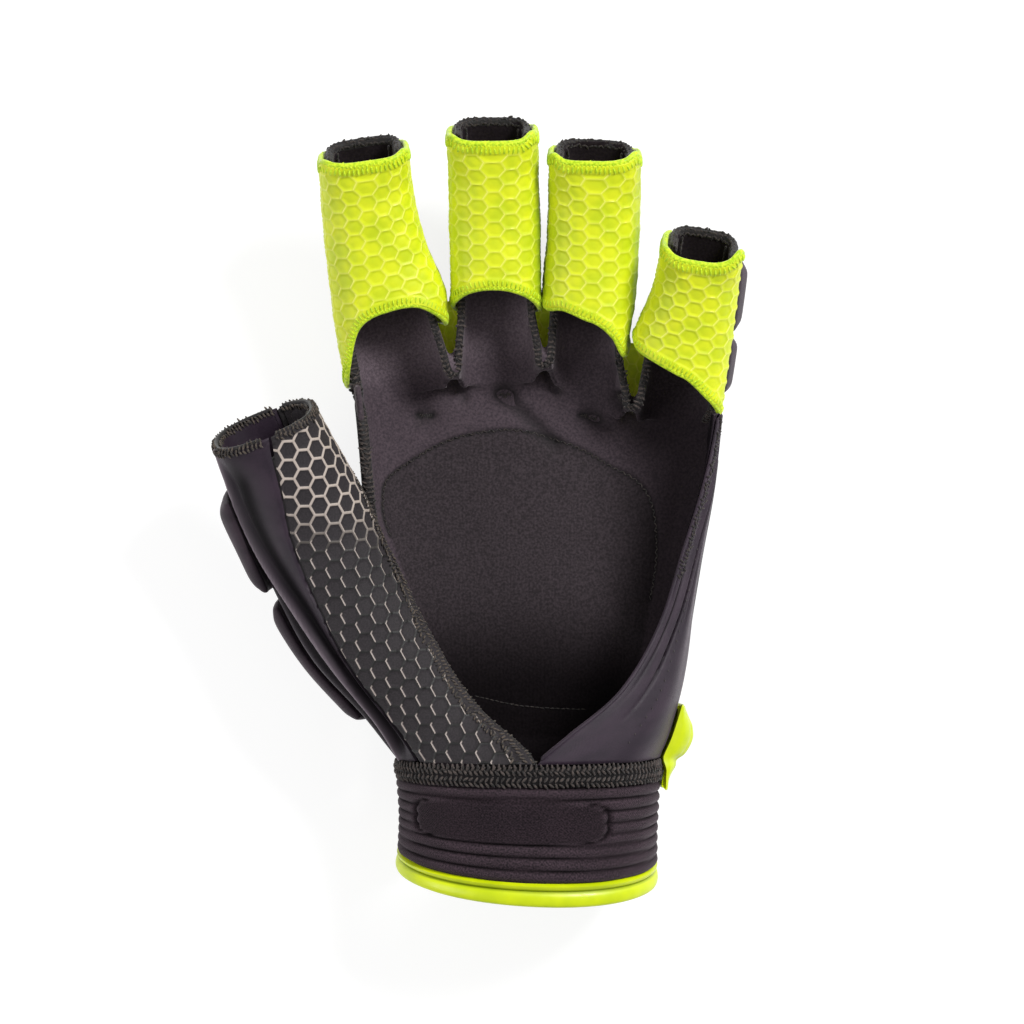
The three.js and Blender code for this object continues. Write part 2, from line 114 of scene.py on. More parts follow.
# hem and mouth are the sleeve's lower and upper edge at sleeveAngles, the mouth beyond the finger's
# length. widen is how far the lining stands out beside the crotch to its left and right, there and
# 16 mm on, after the crotch's place along the finger. flare adds to that for the sleeve, over a
# length above its hem. start and whole are where the channel in the lining starts and where its
# walls are whole, at its left and right side. flat is the sleeve's cut size, in metres, and shade how strongly painted
# shade darkens its right side.
fingerShape = dict(tilt=(4, 27), back=(11.6, 9.2), front=(11, 9.6), crotch=16, wrap=(-40, 220), pad=(228, 312),
                   height=4.6, flare=((0, 20), (0, 20)), shade=0)
fingers = [
    dict(fingerShape, name="index", x=-31.2, y=34, z=20, lean=8.7, bow=-1.4, length=69, half=(13.2, 11.1), crotch=15,
         widen=((12, 0, 0), (14, 3.1, 2.0)), flare=((0, 20), (2.2, 26)),
         start=(7, 7), whole=(13, 12.5), flat=(0.066, 0.058),
         hem=[24, 24, 27.5, 31.4, 31.2, 27.3, 17.5, 12, 12], mouth=[0, 1.5, 3.2, 2.5, 2.5, 3, 3.4, 1.5, 0]),
    dict(fingerShape, name="middle", x=-8.7, y=38, z=18.4, lean=0.6, bow=0.4, length=69.5, half=(11.6, 11.1),
         widen=((11, 0.7, -0.2), (12, 2, 0)), shade=0.62,
         start=(5, 6), whole=(9.5, 12), flat=(0.062, 0.05),
         hem=[24, 25.5, 28.4, 31.2, 32.8, 31.8, 29.2, 26.5, 24], mouth=[0, 2, 4, 2.7, 2.4, 2.6, 3.2, 1.5, 0]),
    dict(fingerShape, name="ring", x=13.7, y=38, z=18.4, lean=-2.2, bow=0.6, length=64, half=(11.6, 11.3),
         widen=((13, 0.4, 0.4), (1, 1.7, -1.4)), flare=((0.3, 20), (0, 20)), shade=0.62,
         start=(6, -3), whole=(12, 1.5), flat=(0.062, 0.05),
         hem=[17, 16, 15, 20, 24.4, 26.9, 26.3, 26.5, 24], mouth=[0, 2, 5, 3.8, 3, 2.9, 3.7, 1.5, 0]),
    dict(fingerShape, name="little", x=34, y=28, z=20.4, lean=-10.4, bow=0.5, length=52, tilt=(4, 32), half=(12.8, 10.2),
         back=(11.9, 9.2), front=(10.6, 9.2), crotch=14, wrap=(14, 220), pad=(236, 366), height=3.6,
         widen=((8, -1, -0.2), (10, 0, 0)), flare=((2.2, 16), (0, 20)),
         start=(5, 7), whole=(10, 14), flat=(0.053, 0.038),
         hem=[9, 9.5, 13.4, 17, 21.4, 23.8, 25.2, 26.5, 22], mouth=[0, 3.5, 5.5, 3.3, 1.7, 1.8, 2.4, 1.5, 0]),
]
sleeveAngles = [-40, 0, 30, 60, 90, 120, 150, 180, 220]
channelLip = 2.2
liningSide, liningRoot = 100, 58



def lerp(a, b, t):
    return a + (b - a) * t


def smoothstep(x, low, high):
    t = np.clip((x - low) / (high - low), 0, 1)
    return t * t * (3 - 2 * t)


# A bump one high, that has all but gone at two.
def bell(t):
    return np.exp(-t ** 2)


# A hump one high between 0 and 1, squarer with a lower power.
def arch(t, power):
    return np.sin(np.pi * np.clip(t, 0, 1)) ** power


# A row between the rows of a table, each number following a smooth curve through its column.
def rowAt(rows, key, value):
    keys = np.array(rows[key], float)
    value = np.asarray(value, float)
    last = len(keys) - 1
    i = np.clip(np.searchsorted(keys[1:], value, side="left"), 0, last - 1)
    t = (value - keys[i]) / (keys[i + 1] - keys[i])
    row = {}
    for column, numbers in rows.items():
        n = np.array(numbers, float)
        low, high = n[i], n[i + 1]
        rise = high - low
        slopeIn = (high - n[np.maximum(i - 1, 0)]) / 2
        slopeOut = (n[np.minimum(i + 2, last)] - low) / 2
        bend = slopeIn + slopeOut - 2 * rise
        row[column] = low + t * (slopeIn + t * (rise - slopeIn - bend + t * bend))
    return row


def cosAndSin(degrees):
    return math.cos(math.radians(degrees)), math.sin(math.radians(degrees))


# The point of a ring at an angle: 0 is the little-finger side and 90 the palm side.
def ringPoint(ring, angle):
    cos, sin = np.cos(np.radians(angle)), np.sin(np.radians(angle))
    power = 2 / ring["square"]
    across = np.sign(cos) * np.abs(cos) ** power * ring["half"]
    depth = np.sign(sin) * np.abs(sin) ** power * np.where(sin > 0, ring["front"], ring["back"])
    lean, tilt = np.radians(ring["lean"]), np.radians(ring["tilt"])
    slide = -np.sin(tilt) * depth
    return np.stack([
        ring["x"] + np.cos(lean) * across - np.sin(lean) * slide,
        ring["y"] + np.sin(lean) * across + np.cos(lean) * slide,
        ring["z"] + np.cos(tilt) * depth,
    ], axis=-1)


def handPoint(angle, y):
    return ringPoint({**rowAt(handRings, "y", y), "lean": 0}, angle)


def backAngle(x, y):
    ring = rowAt(handRings, "y", y)
    share = (x - ring["x"]) / ring["half"]
    return 270 + np.sign(share) * np.degrees(np.arcsin(np.clip(np.abs(share), 0, 1) ** (ring["square"] / 2)))


# How far a finger's cloth is moved sideways beside a crotch.
def sideways(finger, angle, length, outer):
    cos = np.cos(np.radians(angle))
    total = 0
    for side, sign in ((0, -1), (1, 1)):
        at, low, high = finger["widen"][side]
        move = lerp(lerp(low, high, smoothstep(length, at, at + 16)), 0, smoothstep(length, at + 16, at + 32))
        flare, fade = finger["flare"][side]
        top = finger["crotch"] + 18 if sign > 0 else finger["crotch"] + 12
        if outer:
            move = move + flare * smoothstep(length, top - 14, top) * (1 - smoothstep(length, top, top + fade))
        total = total + sign * move * np.maximum(0, cos * sign) ** 1.5
    return total


def fingerPoint(finger, angle, length, narrow=0, deepen=0):
    share = length / finger["length"]
    tilt = lerp(*finger["tilt"], share)
    start, now = math.radians(finger["tilt"][0]), np.radians(tilt)
    radius = finger["length"] / math.radians(finger["tilt"][1] - finger["tilt"][0])
    spread = sideways(finger, angle, length, deepen > 0)
    ring = dict(
        x=finger["bow"] * 4 * share * (1 - share) + spread, y=radius * (np.sin(now) - math.sin(start)),
        z=radius * (math.cos(start) - np.cos(now)), lean=0, tilt=tilt, half=lerp(*finger["half"], share) - narrow,
        back=lerp(*finger["back"], share) + deepen, front=lerp(*finger["front"], share),
        square=2.5 + smoothstep(share, 0.88, 1.02))
    point = ringPoint(ring, angle)
    cos, sin = cosAndSin(finger["lean"])
    x, y, z = point[..., 0], point[..., 1], point[..., 2]
    return np.stack([finger["x"] + cos * x - sin * y, finger["y"] + sin * x + cos * y, finger["z"] + z], axis=-1)


def liningPoint(finger, angle, length):
    return fingerPoint(finger, angle, length, narrow=sleeveWall + gap)


# A sleeve's lower and upper edge, as lengths along the finger.
def sleeveHem(finger, angle):
    return rowAt(dict(angle=sleeveAngles, reach=finger["hem"]), "angle", angle)["reach"]


def mouthLength(finger, angle):
    return finger["length"] + rowAt(dict(angle=sleeveAngles, reach=finger["mouth"]), "angle", angle)["reach"]


def thumbRing(at):
    ring = rowAt(thumbRings, "at", at)
    return {**ring, "front": ring["deep"], "back": ring["deep"]}


# The side panel's back edge lies along the lining's edge, up to the crotch of the thumb.
def thumbPoint(angle, at):
    ring = thumbRing(at)
    point, end = ringPoint(ring, angle), ringPoint(ring, ring["end"])
    left = rowAt(handRings, "y", end[..., 1])["left"]
    pull = smoothstep(angle, lerp(ring["seam"], ring["end"], 0.4), ring["end"]) * (1 - smoothstep(at, 3.3, 4.7))
    return point + (handPoint(left - 1.2, end[..., 1]) - end) * pull[..., None]


def cuffPoint(angle, at):
    return ringPoint(rowAt(cuffRings, "at", at), angle)


# Tools for cloth, rolls and stitches
def outwards(face, u, v, step=1e-3):
    alongU = face(u + step, v) - face(u - step, v)
    alongV = face(u, v + step) - face(u, v - step)
    normal = np.cross(alongV, alongU)
    return normal / np.maximum(np.linalg.norm(normal, axis=-1, keepdims=True), 1e-9)


def distanceAlong(points):
    return np.concatenate([[0], np.cumsum(np.linalg.norm(np.diff(points, axis=0), axis=1))])


def newObject(name, mesh):
    piece = bpy.data.objects.new(name, mesh)
    bpy.context.scene.collection.objects.link(piece)
    return piece


# A grid of quads, with each vertex's place across (u) and along (v) it. u counts against the
# grid's own X, so that a piece whose u runs round and v runs along it faces outwards.
def newGrid(name, across, along):
    bm = bmesh.new()
    bmesh.ops.create_grid(bm, x_segments=across, y_segments=along, size=0.5)
    mesh = bpy.data.meshes.new(name)
    bm.to_mesh(mesh)
    bm.free()
    flat = coordinates(mesh)
    low, high = flat.min(0), flat.max(0)
    u = np.round((high[0] - flat[:, 0]) / (high[0] - low[0]) * across) / across
    v = np.round((flat[:, 1] - low[1]) / (high[1] - low[1]) * along) / along
    return mesh, u, v


def coordinates(mesh):
    flat = np.empty(len(mesh.vertices) * 3)
    mesh.vertices.foreach_get("co", flat)
    return flat.reshape(-1, 3)


def moveTo(mesh, points):
    mesh.vertices.foreach_set("co", (points * metre).astype(np.float32).ravel())
    mesh.update()


def setUv(mesh, s, t):
    corner = np.empty(len(mesh.loops), np.int32)
    mesh.loops.foreach_get("vertex_index", corner)
    layer = mesh.uv_layers.new(name="cloth")
    layer.data.foreach_set("uv", np.stack([s[corner], t[corner]], axis=1).astype(np.float32).ravel())


def paint(mesh, name, values):
    layer = mesh.attributes.new(name, "FLOAT", "POINT")
    layer.data.foreach_set("value", values.astype(np.float32))


def mergeDoubles(mesh, distance=1e-6):
    bm = bmesh.new()
    bm.from_mesh(mesh)
    bmesh.ops.remove_doubles(bm, verts=bm.verts, dist=distance)
    bmesh.ops.dissolve_degenerate(bm, edges=bm.edges, dist=distance)
    bm.to_mesh(mesh)
    bm.free()


def smoothFaces(mesh, angle=55):
    mesh.polygons.foreach_set("use_smooth", np.ones(len(mesh.polygons), bool))
    mesh.set_sharp_from_angle(angle=math.radians(angle))


# The piece with its modifiers applied.
def bake(piece):
    bpy.context.view_layer.update()
    graph = bpy.context.evaluated_depsgraph_get()
    mesh = bpy.data.meshes.new_from_object(piece.evaluated_get(graph))
    piece.modifiers.clear()
    piece.data = mesh
    return piece


# A sheet of cloth on a face. cell is the size of its quads, height how far it stands out from the
# face at u and v, and edge how far its rims are rounded off. Its UV is in millimetres.
def clothPiece(name, face, cell, wall, height=None, uv=None, edge=0.6, closed=False, floor=None, attributes=None):
    line = np.linspace(0, 1, 61)
    wide = max(distanceAlong(face(line, np.full(61, share)))[-1] for share in (0.02, 0.5, 0.98))
    long = max(distanceAlong(face(np.full(61, share), line))[-1] for share in (0.02, 0.5, 0.98))
    across, along = max(4, round(wide / cell)), max(2, round(long / cell))
    mesh, u, v = newGrid(name, across, along)
    points, up = face(u, v), outwards(face, u, v)
    stand = np.zeros(len(u)) if height is None else height(u, v) + np.zeros(len(u))
    if edge:
        border = np.minimum(v, 1 - v) * long
        if not closed:
            border = np.minimum(np.minimum(u, 1 - u) * wide, border)
        near = np.clip(1 - border / edge, 0, 1)
        stand = stand - edge * (1 - np.sqrt(1 - near * near)) * 0.8
    points = points + up * stand[:, None]
    if floor is not None:
        points[:, 2] = np.maximum(points[:, 2], floor)
    moveTo(mesh, points)
    s, t = uv(u, v) if uv else (u * wide, v * long)
    setUv(mesh, s, t)
    for key, values in (attributes(u, v) if attributes else {}).items():
        paint(mesh, key, values)
    if closed:
        mergeDoubles(mesh)
    piece = newObject(name, mesh)
    if wall:
        solid = piece.modifiers.new("wall", "SOLIDIFY")
        solid.thickness, solid.offset, solid.use_even_offset = wall * metre, -1, False
        bake(piece)
    smoothFaces(piece.data)
    return piece


# A roll of cloth or a thread along a line of points. radius may change along it, and flat is
# its height as a share of its width.
def rollPiece(name, line, up, radius, sides=10, flat=1.0):
    count = len(line)
    tangent = np.gradient(line, axis=0)
    tangent /= np.linalg.norm(tangent, axis=1, keepdims=True)
    normal = up - (up * tangent).sum(1, keepdims=True) * tangent
    normal /= np.maximum(np.linalg.norm(normal, axis=1, keepdims=True), 1e-9)
    side = np.cross(tangent, normal)
    far = distanceAlong(line)
    toEnd = np.clip(np.minimum(far, far[-1] - far) / np.maximum(radius, 1e-6), 0, 1)
    size = radius * np.sqrt(1 - (1 - toEnd) ** 2)
    mesh, u, v = newGrid(name, sides, count - 1)
    row = np.round(v * (count - 1)).astype(int)
    turn = 2 * np.pi * u
    offset = np.cos(turn)[:, None] * side[row] + flat * np.sin(turn)[:, None] * normal[row]
    points = line[row] + size[row, None] * offset
    moveTo(mesh, points)
    setUv(mesh, u * sides, far[row])
    mergeDoubles(mesh)
    smoothFaces(mesh, 80)
    return newObject(name, mesh)


# A roll along a line on a face, whose middle lies under the surface. Where the line is on the
# face's border, inside is the same line a little way in, for the outward directions.
def edgeRoll(name, face, place, under, radius, inside=None, sides=10, flat=1.0):
    up = outwards(face, *np.broadcast_arrays(*(inside or place)))
    return rollPiece(name, face(*np.broadcast_arrays(*place)) - up * under, up, radius, sides, flat)


def joined(name, pieces, angle=80):
    bm = bmesh.new()
    for piece in pieces:
        bm.from_mesh(piece.data)
    mesh = bpy.data.meshes.new(name)
    bm.to_mesh(mesh)
    bm.free()
    smoothFaces(mesh, angle)
    for piece in pieces:
        bpy.data.objects.remove(piece)
    return newObject(name, mesh)


# Rows of stitches, each a short thread that dips into the cloth at both ends. A row is a list of
# (places, directions along the seam, directions off the cloth) and a dictionary of sizes.
def stitchPiece(name, rows, batch=40):
    whole, few = bmesh.new(), bmesh.new()
    rng = np.random.default_rng(len(name))
    mesh = bpy.data.meshes.new(name)
    stitches = [(place, size, number) for places, size in rows for number, place in enumerate(zip(*places))]
    for number, ((place, tangent, up), size, inRow) in enumerate(stitches):
        tangent, up = Vector(tangent).normalized(), Vector(up).normalized()
        side = up.cross(tangent)
        lean = math.radians(size.get("slant", 90)) * (-1 if size.get("zigzag") and inRow % 2 else 1)
        lean += rng.normal(0, size.get("loose", 0.08))
        run = tangent * math.cos(lean) + side * math.sin(lean)
        run = (run - up * run.dot(up)).normalized()
        half = run * size["length"] / 2 * rng.uniform(0.9, 1.1)
        shift = size.get("shift", 0) + rng.normal(0, size.get("stray", 0.03))
        place = Vector(place) + side * shift + up * size.get("rise", 0)
        axes = (up.cross(run) * size["width"] / 2, up * size.get("height", size["width"]) / 2, half, place)
        matrix = Matrix.Identity(4)
        for column, axis in enumerate(axes):
            matrix.col[column] = (*(axis * metre), matrix[3][column])
        bmesh.ops.create_uvsphere(few, u_segments=6, v_segments=4, radius=1, matrix=matrix)
        if number % batch == batch - 1 or number == len(stitches) - 1:  # a small mesh stays quick to add to
            few.to_mesh(mesh)
            whole.from_mesh(mesh)
            few.clear()
    whole.to_mesh(mesh)
    whole.free()
    few.free()
    smoothFaces(mesh, 180)
    return newObject(name, mesh)


# Evenly spaced places along a line on a face, with the directions that a stitch needs.
def seamOn(face, u, v, spacing):
    count = 400
    share = np.linspace(0, 1, count)
    u, v = np.broadcast_arrays(u, v)
    knots = np.linspace(0, 1, len(u))
    u, v = np.interp(share, knots, u), np.interp(share, knots, v)
    points = face(u, v)
    far = distanceAlong(points)
    stitches = max(2, int(far[-1] / spacing))
    stops = (np.arange(stitches) + 0.5) / stitches * far[-1]
    u, v = np.interp(stops, far, u), np.interp(stops, far, v)
    near = lambda step: np.stack([np.interp(stops + step, far, points[:, k]) for k in range(3)], axis=1)
    return face(u, v), near(0.3) - near(-0.3), outwards(face, u, v)


# Distance to the nearest side of a cell, on a sheet of hexagons with flat tops.
def hexEdge(s, t, pitch, stretch=1.0):
    s = s / stretch
    wide = math.sqrt(3) * pitch
    nearest = np.full(np.shape(s), np.inf)
    for shift in (0, 0.5):
        x = np.abs(np.mod(s - shift * wide, wide) - wide / 2)
        y = np.abs(np.mod(t - shift * pitch, pitch) - pitch / 2)
        nearest = np.minimum(nearest, np.maximum(y, y / 2 + x * math.sqrt(3) / 2))
    return pitch / 2 - nearest


# Soft dents and swells that look unplanned, from a few crossed waves.
def ripple(points, size, seed=0):
    rng = np.random.default_rng(seed)
    total = np.zeros(len(points))
    for _ in range(7):
        way = rng.normal(size=3)
        way *= 2 * np.pi / size / np.linalg.norm(way) * rng.uniform(0.6, 1.7)
        total += np.sin(points @ way + rng.uniform(0, 6.28))
    return total / 7


finished = []


def finishPiece(piece, slot, material, *nodes):
    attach(piece, "root")
    if nodes:
        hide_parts(*nodes)
    piece.data.materials.clear()
    piece.data.materials.append(material)
    finished.append(piece)
    return piece


# Materials
def addNode(tree, kind, inputs=None, **settings):
    node = tree.nodes.new(kind)
    for key, value in settings.items():
        setattr(node, key, value)
    for key, value in (inputs or {}).items():
        if isinstance(value, bpy.types.NodeSocket):
            tree.links.new(value, node.inputs[key])
        else:
            node.inputs[key].default_value = value
    return node


def attribute(tree, name):
    return addNode(tree, "ShaderNodeAttribute", attribute_name=name).outputs["Fac"]


# A sum in math nodes. A value may itself be a sum, as a tuple of its operation and its values.
def calc(tree, operation, *values):
    values = [calc(tree, *value) if isinstance(value, tuple) else value for value in values]
    return addNode(tree, "ShaderNodeMath", dict(enumerate(values)), operation=operation).outputs[0]


def blendColour(tree, factor, a, b):
    a, b = [(*c, 1) if isinstance(c, tuple) else c for c in (a, b)]
    return addNode(tree, "ShaderNodeMix", {0: factor, 6: a, 7: b}, data_type="RGBA").outputs[2]


def ramp(tree, value, low, high, toLow=0.0, toHigh=1.0):
    inputs = {0: value, 1: low, 2: high, 3: toLow, 4: toHigh}
    return addNode(tree, "ShaderNodeMapRange", inputs, interpolation_type="SMOOTHSTEP").outputs[0]


def noise(tree, place, scale, detail=2.0, roughness=0.5):
    inputs = {"Vector": place, "Scale": scale, "Detail": detail, "Roughness": roughness}
    return addNode(tree, "ShaderNodeTexNoise", inputs).outputs[0]


def colour(red, green, blue):
    return tuple((c / 255 / 12.92) if c <= 10.3 else ((c / 255 + 0.055) / 1.055) ** 2.4 for c in (red, green, blue))


# Places in millimetres, from the piece's own object coordinates or from its UV map.
def where(tree, fromUv):
    coord = addNode(tree, "ShaderNodeTexCoord")
    if fromUv:
        return coord.outputs["UV"]
    inputs = {0: coord.outputs["Object"], "Scale": 1 / metre}
    return addNode(tree, "ShaderNodeVectorMath", inputs, operation="SCALE").outputs[0]


# Over-and-under threads: rows of small bumps that alternate, period millimetres apart.
def weave(tree, place, period):
    split = addNode(tree, "ShaderNodeSeparateXYZ", {0: place})
    turn = 2 * math.pi / period
    waves = [calc(tree, "SINE", ("MULTIPLY", split.outputs[k], turn)) for k in (0, 1)]
    return calc(tree, "MULTIPLY", *waves)


# The lines between hexagons with flat tops, and the lower left side of each cell, which the materials paint lighter as
# a painted highlight.
def hexLines(tree, place, pitch, stretch, width):
    split = addNode(tree, "ShaderNodeSeparateXYZ", {0: place})
    s, t = calc(tree, "DIVIDE", split.outputs[0], stretch), split.outputs[1]
    wide = math.sqrt(3) * pitch
    far, lit = [], []
    for shift in (0, 0.5):
        x = calc(tree, "SUBTRACT", ("FLOORED_MODULO", ("SUBTRACT", s, shift * wide), wide), wide / 2)
        y = calc(tree, "SUBTRACT", ("FLOORED_MODULO", ("SUBTRACT", t, shift * pitch), pitch), pitch / 2)
        tall = calc(tree, "ABSOLUTE", y)
        slanted = calc(tree, "ADD", ("MULTIPLY", tall, 0.5), ("MULTIPLY", ("ABSOLUTE", x), math.sqrt(3) / 2))
        far.append(calc(tree, "MAXIMUM", tall, slanted))
        lit.append(calc(tree, "MULTIPLY", ("GREATER_THAN", slanted, tall), ramp(tree, calc(tree, "ADD", x, y), -1.9, -1.2, 1.0, 0.0)))
    edge = calc(tree, "SUBTRACT", pitch / 2, ("MINIMUM", *far))
    nearFirst = calc(tree, "LESS_THAN", *far)
    side = calc(tree, "ADD", ("MULTIPLY", nearFirst, lit[0]), ("MULTIPLY", ("SUBTRACT", 1.0, nearFirst), lit[1]))
    return ramp(tree, edge, width * 0.28, width * 0.55, 1.0, 0.0), side


def feed(shader, socket, value):
    shader.id_data.links.new(value, shader.inputs[socket])


def newMaterial(name, roughness, sheen=0.0, sheenTint=(1, 1, 1), coat=0.0, specular=0.5):
    material = bpy.data.materials.new(name)
    material.use_nodes = True
    tree = material.node_tree
    shader = tree.nodes["Principled BSDF"]
    values = {"Roughness": roughness, "Sheen Weight": sheen, "Sheen Roughness": 0.45, "Sheen Tint": (*sheenTint, 1),
              "Coat Weight": coat, "Specular IOR Level": specular}
    for socket, value in values.items():
        shader.inputs[socket].default_value = value
    return material, tree, shader


def addBump(tree, shader, height, strength, distance, below=None):
    inputs = {"Height": height, "Strength": strength, "Distance": distance * metre}
    if below:
        inputs["Normal"] = below
    bump = addNode(tree, "ShaderNodeBump", inputs).outputs[0]
    feed(shader, "Normal", bump)
    return bump


# Cloth or foam skin of one colour family: two tones mottled together, a weave and a nap, with painted shade and a
# painted edge highlight taken from attributes.
def clothMaterial(name, base, deep, roughness, period, weaveDepth, nap, sheen=0.12, tint=(1, 1, 1), specular=0.2, mottle=0.35):
    material, tree, shader = newMaterial(name, roughness, sheen, tint, specular=specular)
    place = where(tree, True)
    patches = ramp(tree, noise(tree, place, 0.09, 3.0), 0.35, 0.68)
    grain = noise(tree, place, 2.4, 2.0)
    tone = calc(tree, "ADD", ("MULTIPLY", patches, mottle), ("MULTIPLY", grain, 1 - mottle))
    # Painted shade, which also dulls the shine
    groove = attribute(tree, "groove")
    cloth = blendColour(tree, ramp(tree, tone, 0.25, 0.75), deep, base)
    # A painted highlight along a rolled edge
    paintedHighlight = attribute(tree, "wornEdge")
    cloth = blendColour(tree, paintedHighlight, cloth, colour(150, 136, 146))
    shine = calc(tree, "SUBTRACT", 1.0, ("MULTIPLY", groove, 0.9))
    feed(shader, "Specular IOR Level", calc(tree, "MULTIPLY", shine, specular))
    feed(shader, "Sheen Weight", calc(tree, "MULTIPLY", shine, sheen))
    feed(shader, "Base Color", blendColour(tree, groove, cloth, colour(6, 5, 6)))
    feed(shader, "Roughness", ramp(tree, grain, 0.3, 0.7, roughness - 0.08, roughness + 0.08))
    first = addBump(tree, shader, noise(tree, place, 3.2, 3.0), 0.6, nap)
    addBump(tree, shader, weave(tree, place, period), 0.5, weaveDepth, first)
    return material


hexSleeve = dict(pitch=4.06, stretch=1.16, line=0.56, relief=0.28)
hexThumb = dict(pitch=4.5, stretch=0.95, line=0.76, relief=0.42)


def limeGripMaterial():
    material, tree, shader = newMaterial("limeGripCloth", 0.46, 0.12, (0.95, 1, 0.6))
    place = where(tree, True)
    line, lit = hexLines(tree, place, hexSleeve["pitch"], hexSleeve["stretch"], hexSleeve["line"])
    cloth = attribute(tree, "hexCloth")
    line = calc(tree, "MULTIPLY", line, cloth)
    patches = ramp(tree, noise(tree, place, 0.16, 3.0), 0.3, 0.7)
    cells = blendColour(tree, patches, colour(196, 213, 2), colour(220, 229, 12))
    # The pale lines, with a painted highlight on the lower left side of each cell
    pale = calc(tree, "MULTIPLY", line, ramp(tree, lit, 0, 1, 0.35, 0.9))
    cells = blendColour(tree, pale, cells, colour(238, 241, 104))
    # Painted shade from an attribute, towards a deep green
    groove = attribute(tree, "groove")
    feed(shader, "Base Color", blendColour(tree, groove, cells, colour(96, 140, 0)))
    feed(shader, "Roughness", ramp(tree, line, 0, 1, 0.52, 0.36))
    first = addBump(tree, shader, noise(tree, place, 3.0, 3.0), 0.5, 0.05)
    addBump(tree, shader, weave(tree, place, 0.5), 0.35, 0.04, first)
    return material


def thumbGripMaterial():
    material, tree, shader = newMaterial("blackGripCloth", 0.55, 0.12, (1, 0.94, 0.97))
    place = where(tree, True)
    line, lit = hexLines(tree, place, hexThumb["pitch"], hexThumb["stretch"], hexThumb["line"])
    cloth = attribute(tree, "hexCloth")
    pale = attribute(tree, "paleLines")
    line = calc(tree, "MULTIPLY", line, cloth)
    grain = noise(tree, place, 2.2, 2.0)
    cells = blendColour(tree, ramp(tree, grain, 0.3, 0.7), colour(20, 15, 19), colour(38, 31, 36))
    # Lines pale towards the thumb's tip and dark lower down, where the lower left side of each cell gets a painted
    # highlight
    paintedHighlight = blendColour(tree, lit, colour(7, 5, 6), colour(158, 146, 140))
    lines = blendColour(tree, pale, paintedHighlight, colour(180, 167, 158))
    feed(shader, "Base Color", blendColour(tree, line, cells, lines))
    feed(shader, "Roughness", ramp(tree, line, 0, 1, 0.75, 0.55))
    first = addBump(tree, shader, noise(tree, place, 3.0, 3.0), 0.6, 0.07)
    addBump(tree, shader, weave(tree, place, 0.5), 0.4, 0.05, first)
    return material


# The lining: a smooth brushed cloth towards the fingers and a darker ribbed knit below the seam, with painted light in
# the finger channels and painted shade deeper in the glove.
def liningMaterial():
    material, tree, shader = newMaterial("liningCloth", 0.85, 0.2, (1, 0.9, 0.95), 0, 0.35)
    place = where(tree, False)
    smooth = attribute(tree, "smoothCloth")
    edge = attribute(tree, "seamShade")
    grain = noise(tree, place, 1.6, 3.0, 0.6)
    speck = ramp(tree, grain, 0.3, 0.72)
    above = blendColour(tree, speck, colour(50, 41, 48), colour(76, 64, 71))
    below = blendColour(tree, speck, colour(30, 23, 27), colour(58, 49, 54))
    # Painted light in the finger channels
    channel = attribute(tree, "paintedChannelLight")
    above = blendColour(tree, channel, above, blendColour(tree, speck, colour(84, 73, 80), colour(116, 102, 110)))
    cloth = blendColour(tree, smooth, below, above)
    # Painted shade deep in the glove
    deep = attribute(tree, "paintedDeepShade")
    cloth = blendColour(tree, deep, cloth, colour(9, 7, 8))
    # Darkened along the seam line, with painted shade in the tacks' dents and holes and in the creases
    feed(shader, "Base Color", blendColour(tree, edge, cloth, colour(9, 7, 8)))
    nap = calc(tree, "MULTIPLY", ("SUBTRACT", 1.0, deep), 0.2)
    feed(shader, "Sheen Weight", nap)
    feed(shader, "Specular IOR Level", calc(tree, "MULTIPLY", nap, 1.75))
    split = addNode(tree, "ShaderNodeSeparateXYZ", {0: place})
    ribs = calc(tree, "SINE", ("MULTIPLY", split.outputs[0], 2 * math.pi / 0.95))
    ribs = calc(tree, "MULTIPLY", ribs, ramp(tree, smooth, 0, 1, 0.55, 0.1))
    first = addBump(tree, shader, grain, 0.7, 0.12)
    addBump(tree, shader, ribs, 0.4, 0.06, first)
    return material


# Moulded rubber: an even colour with faint mottling and a fine orange-peel skin, and painted shade in its grooves from
# an attribute.
def rubberMaterial():
    material, tree, shader = newMaterial("limeRubber", 0.36, 0, (1, 1, 1), 0.05)
    place = where(tree, False)
    patches = ramp(tree, noise(tree, place, 0.12, 3.0), 0.3, 0.7)
    rubber = blendColour(tree, patches, colour(192, 212, 0), colour(212, 228, 4))
    # Painted shade in grooves
    groove = attribute(tree, "groove")
    feed(shader, "Base Color", blendColour(tree, groove, rubber, colour(96, 118, 0)))
    feed(shader, "Roughness", ramp(tree, noise(tree, place, 0.5, 2.0), 0.3, 0.7, 0.32, 0.44))
    addBump(tree, shader, noise(tree, place, 1.4, 3.0), 0.35, 0.05)
    return material


# Twisted thread, with fine strands across each stitch.
def threadMaterial(name, base, deep, roughness=0.7):
    material, tree, shader = newMaterial(name, roughness, 0.2, (1, 1, 1), 0, 0.4)
    place = where(tree, False)
    grain = noise(tree, place, 1.3, 3.0)
    feed(shader, "Base Color", blendColour(tree, ramp(tree, grain, 0.35, 0.65), deep, base))
    feed(shader, "Roughness", ramp(tree, grain, 0.3, 0.7, roughness - 0.12, roughness + 0.1))
    addBump(tree, shader, noise(tree, place, 5.0, 2.0), 0.7, 0.06)
    return material


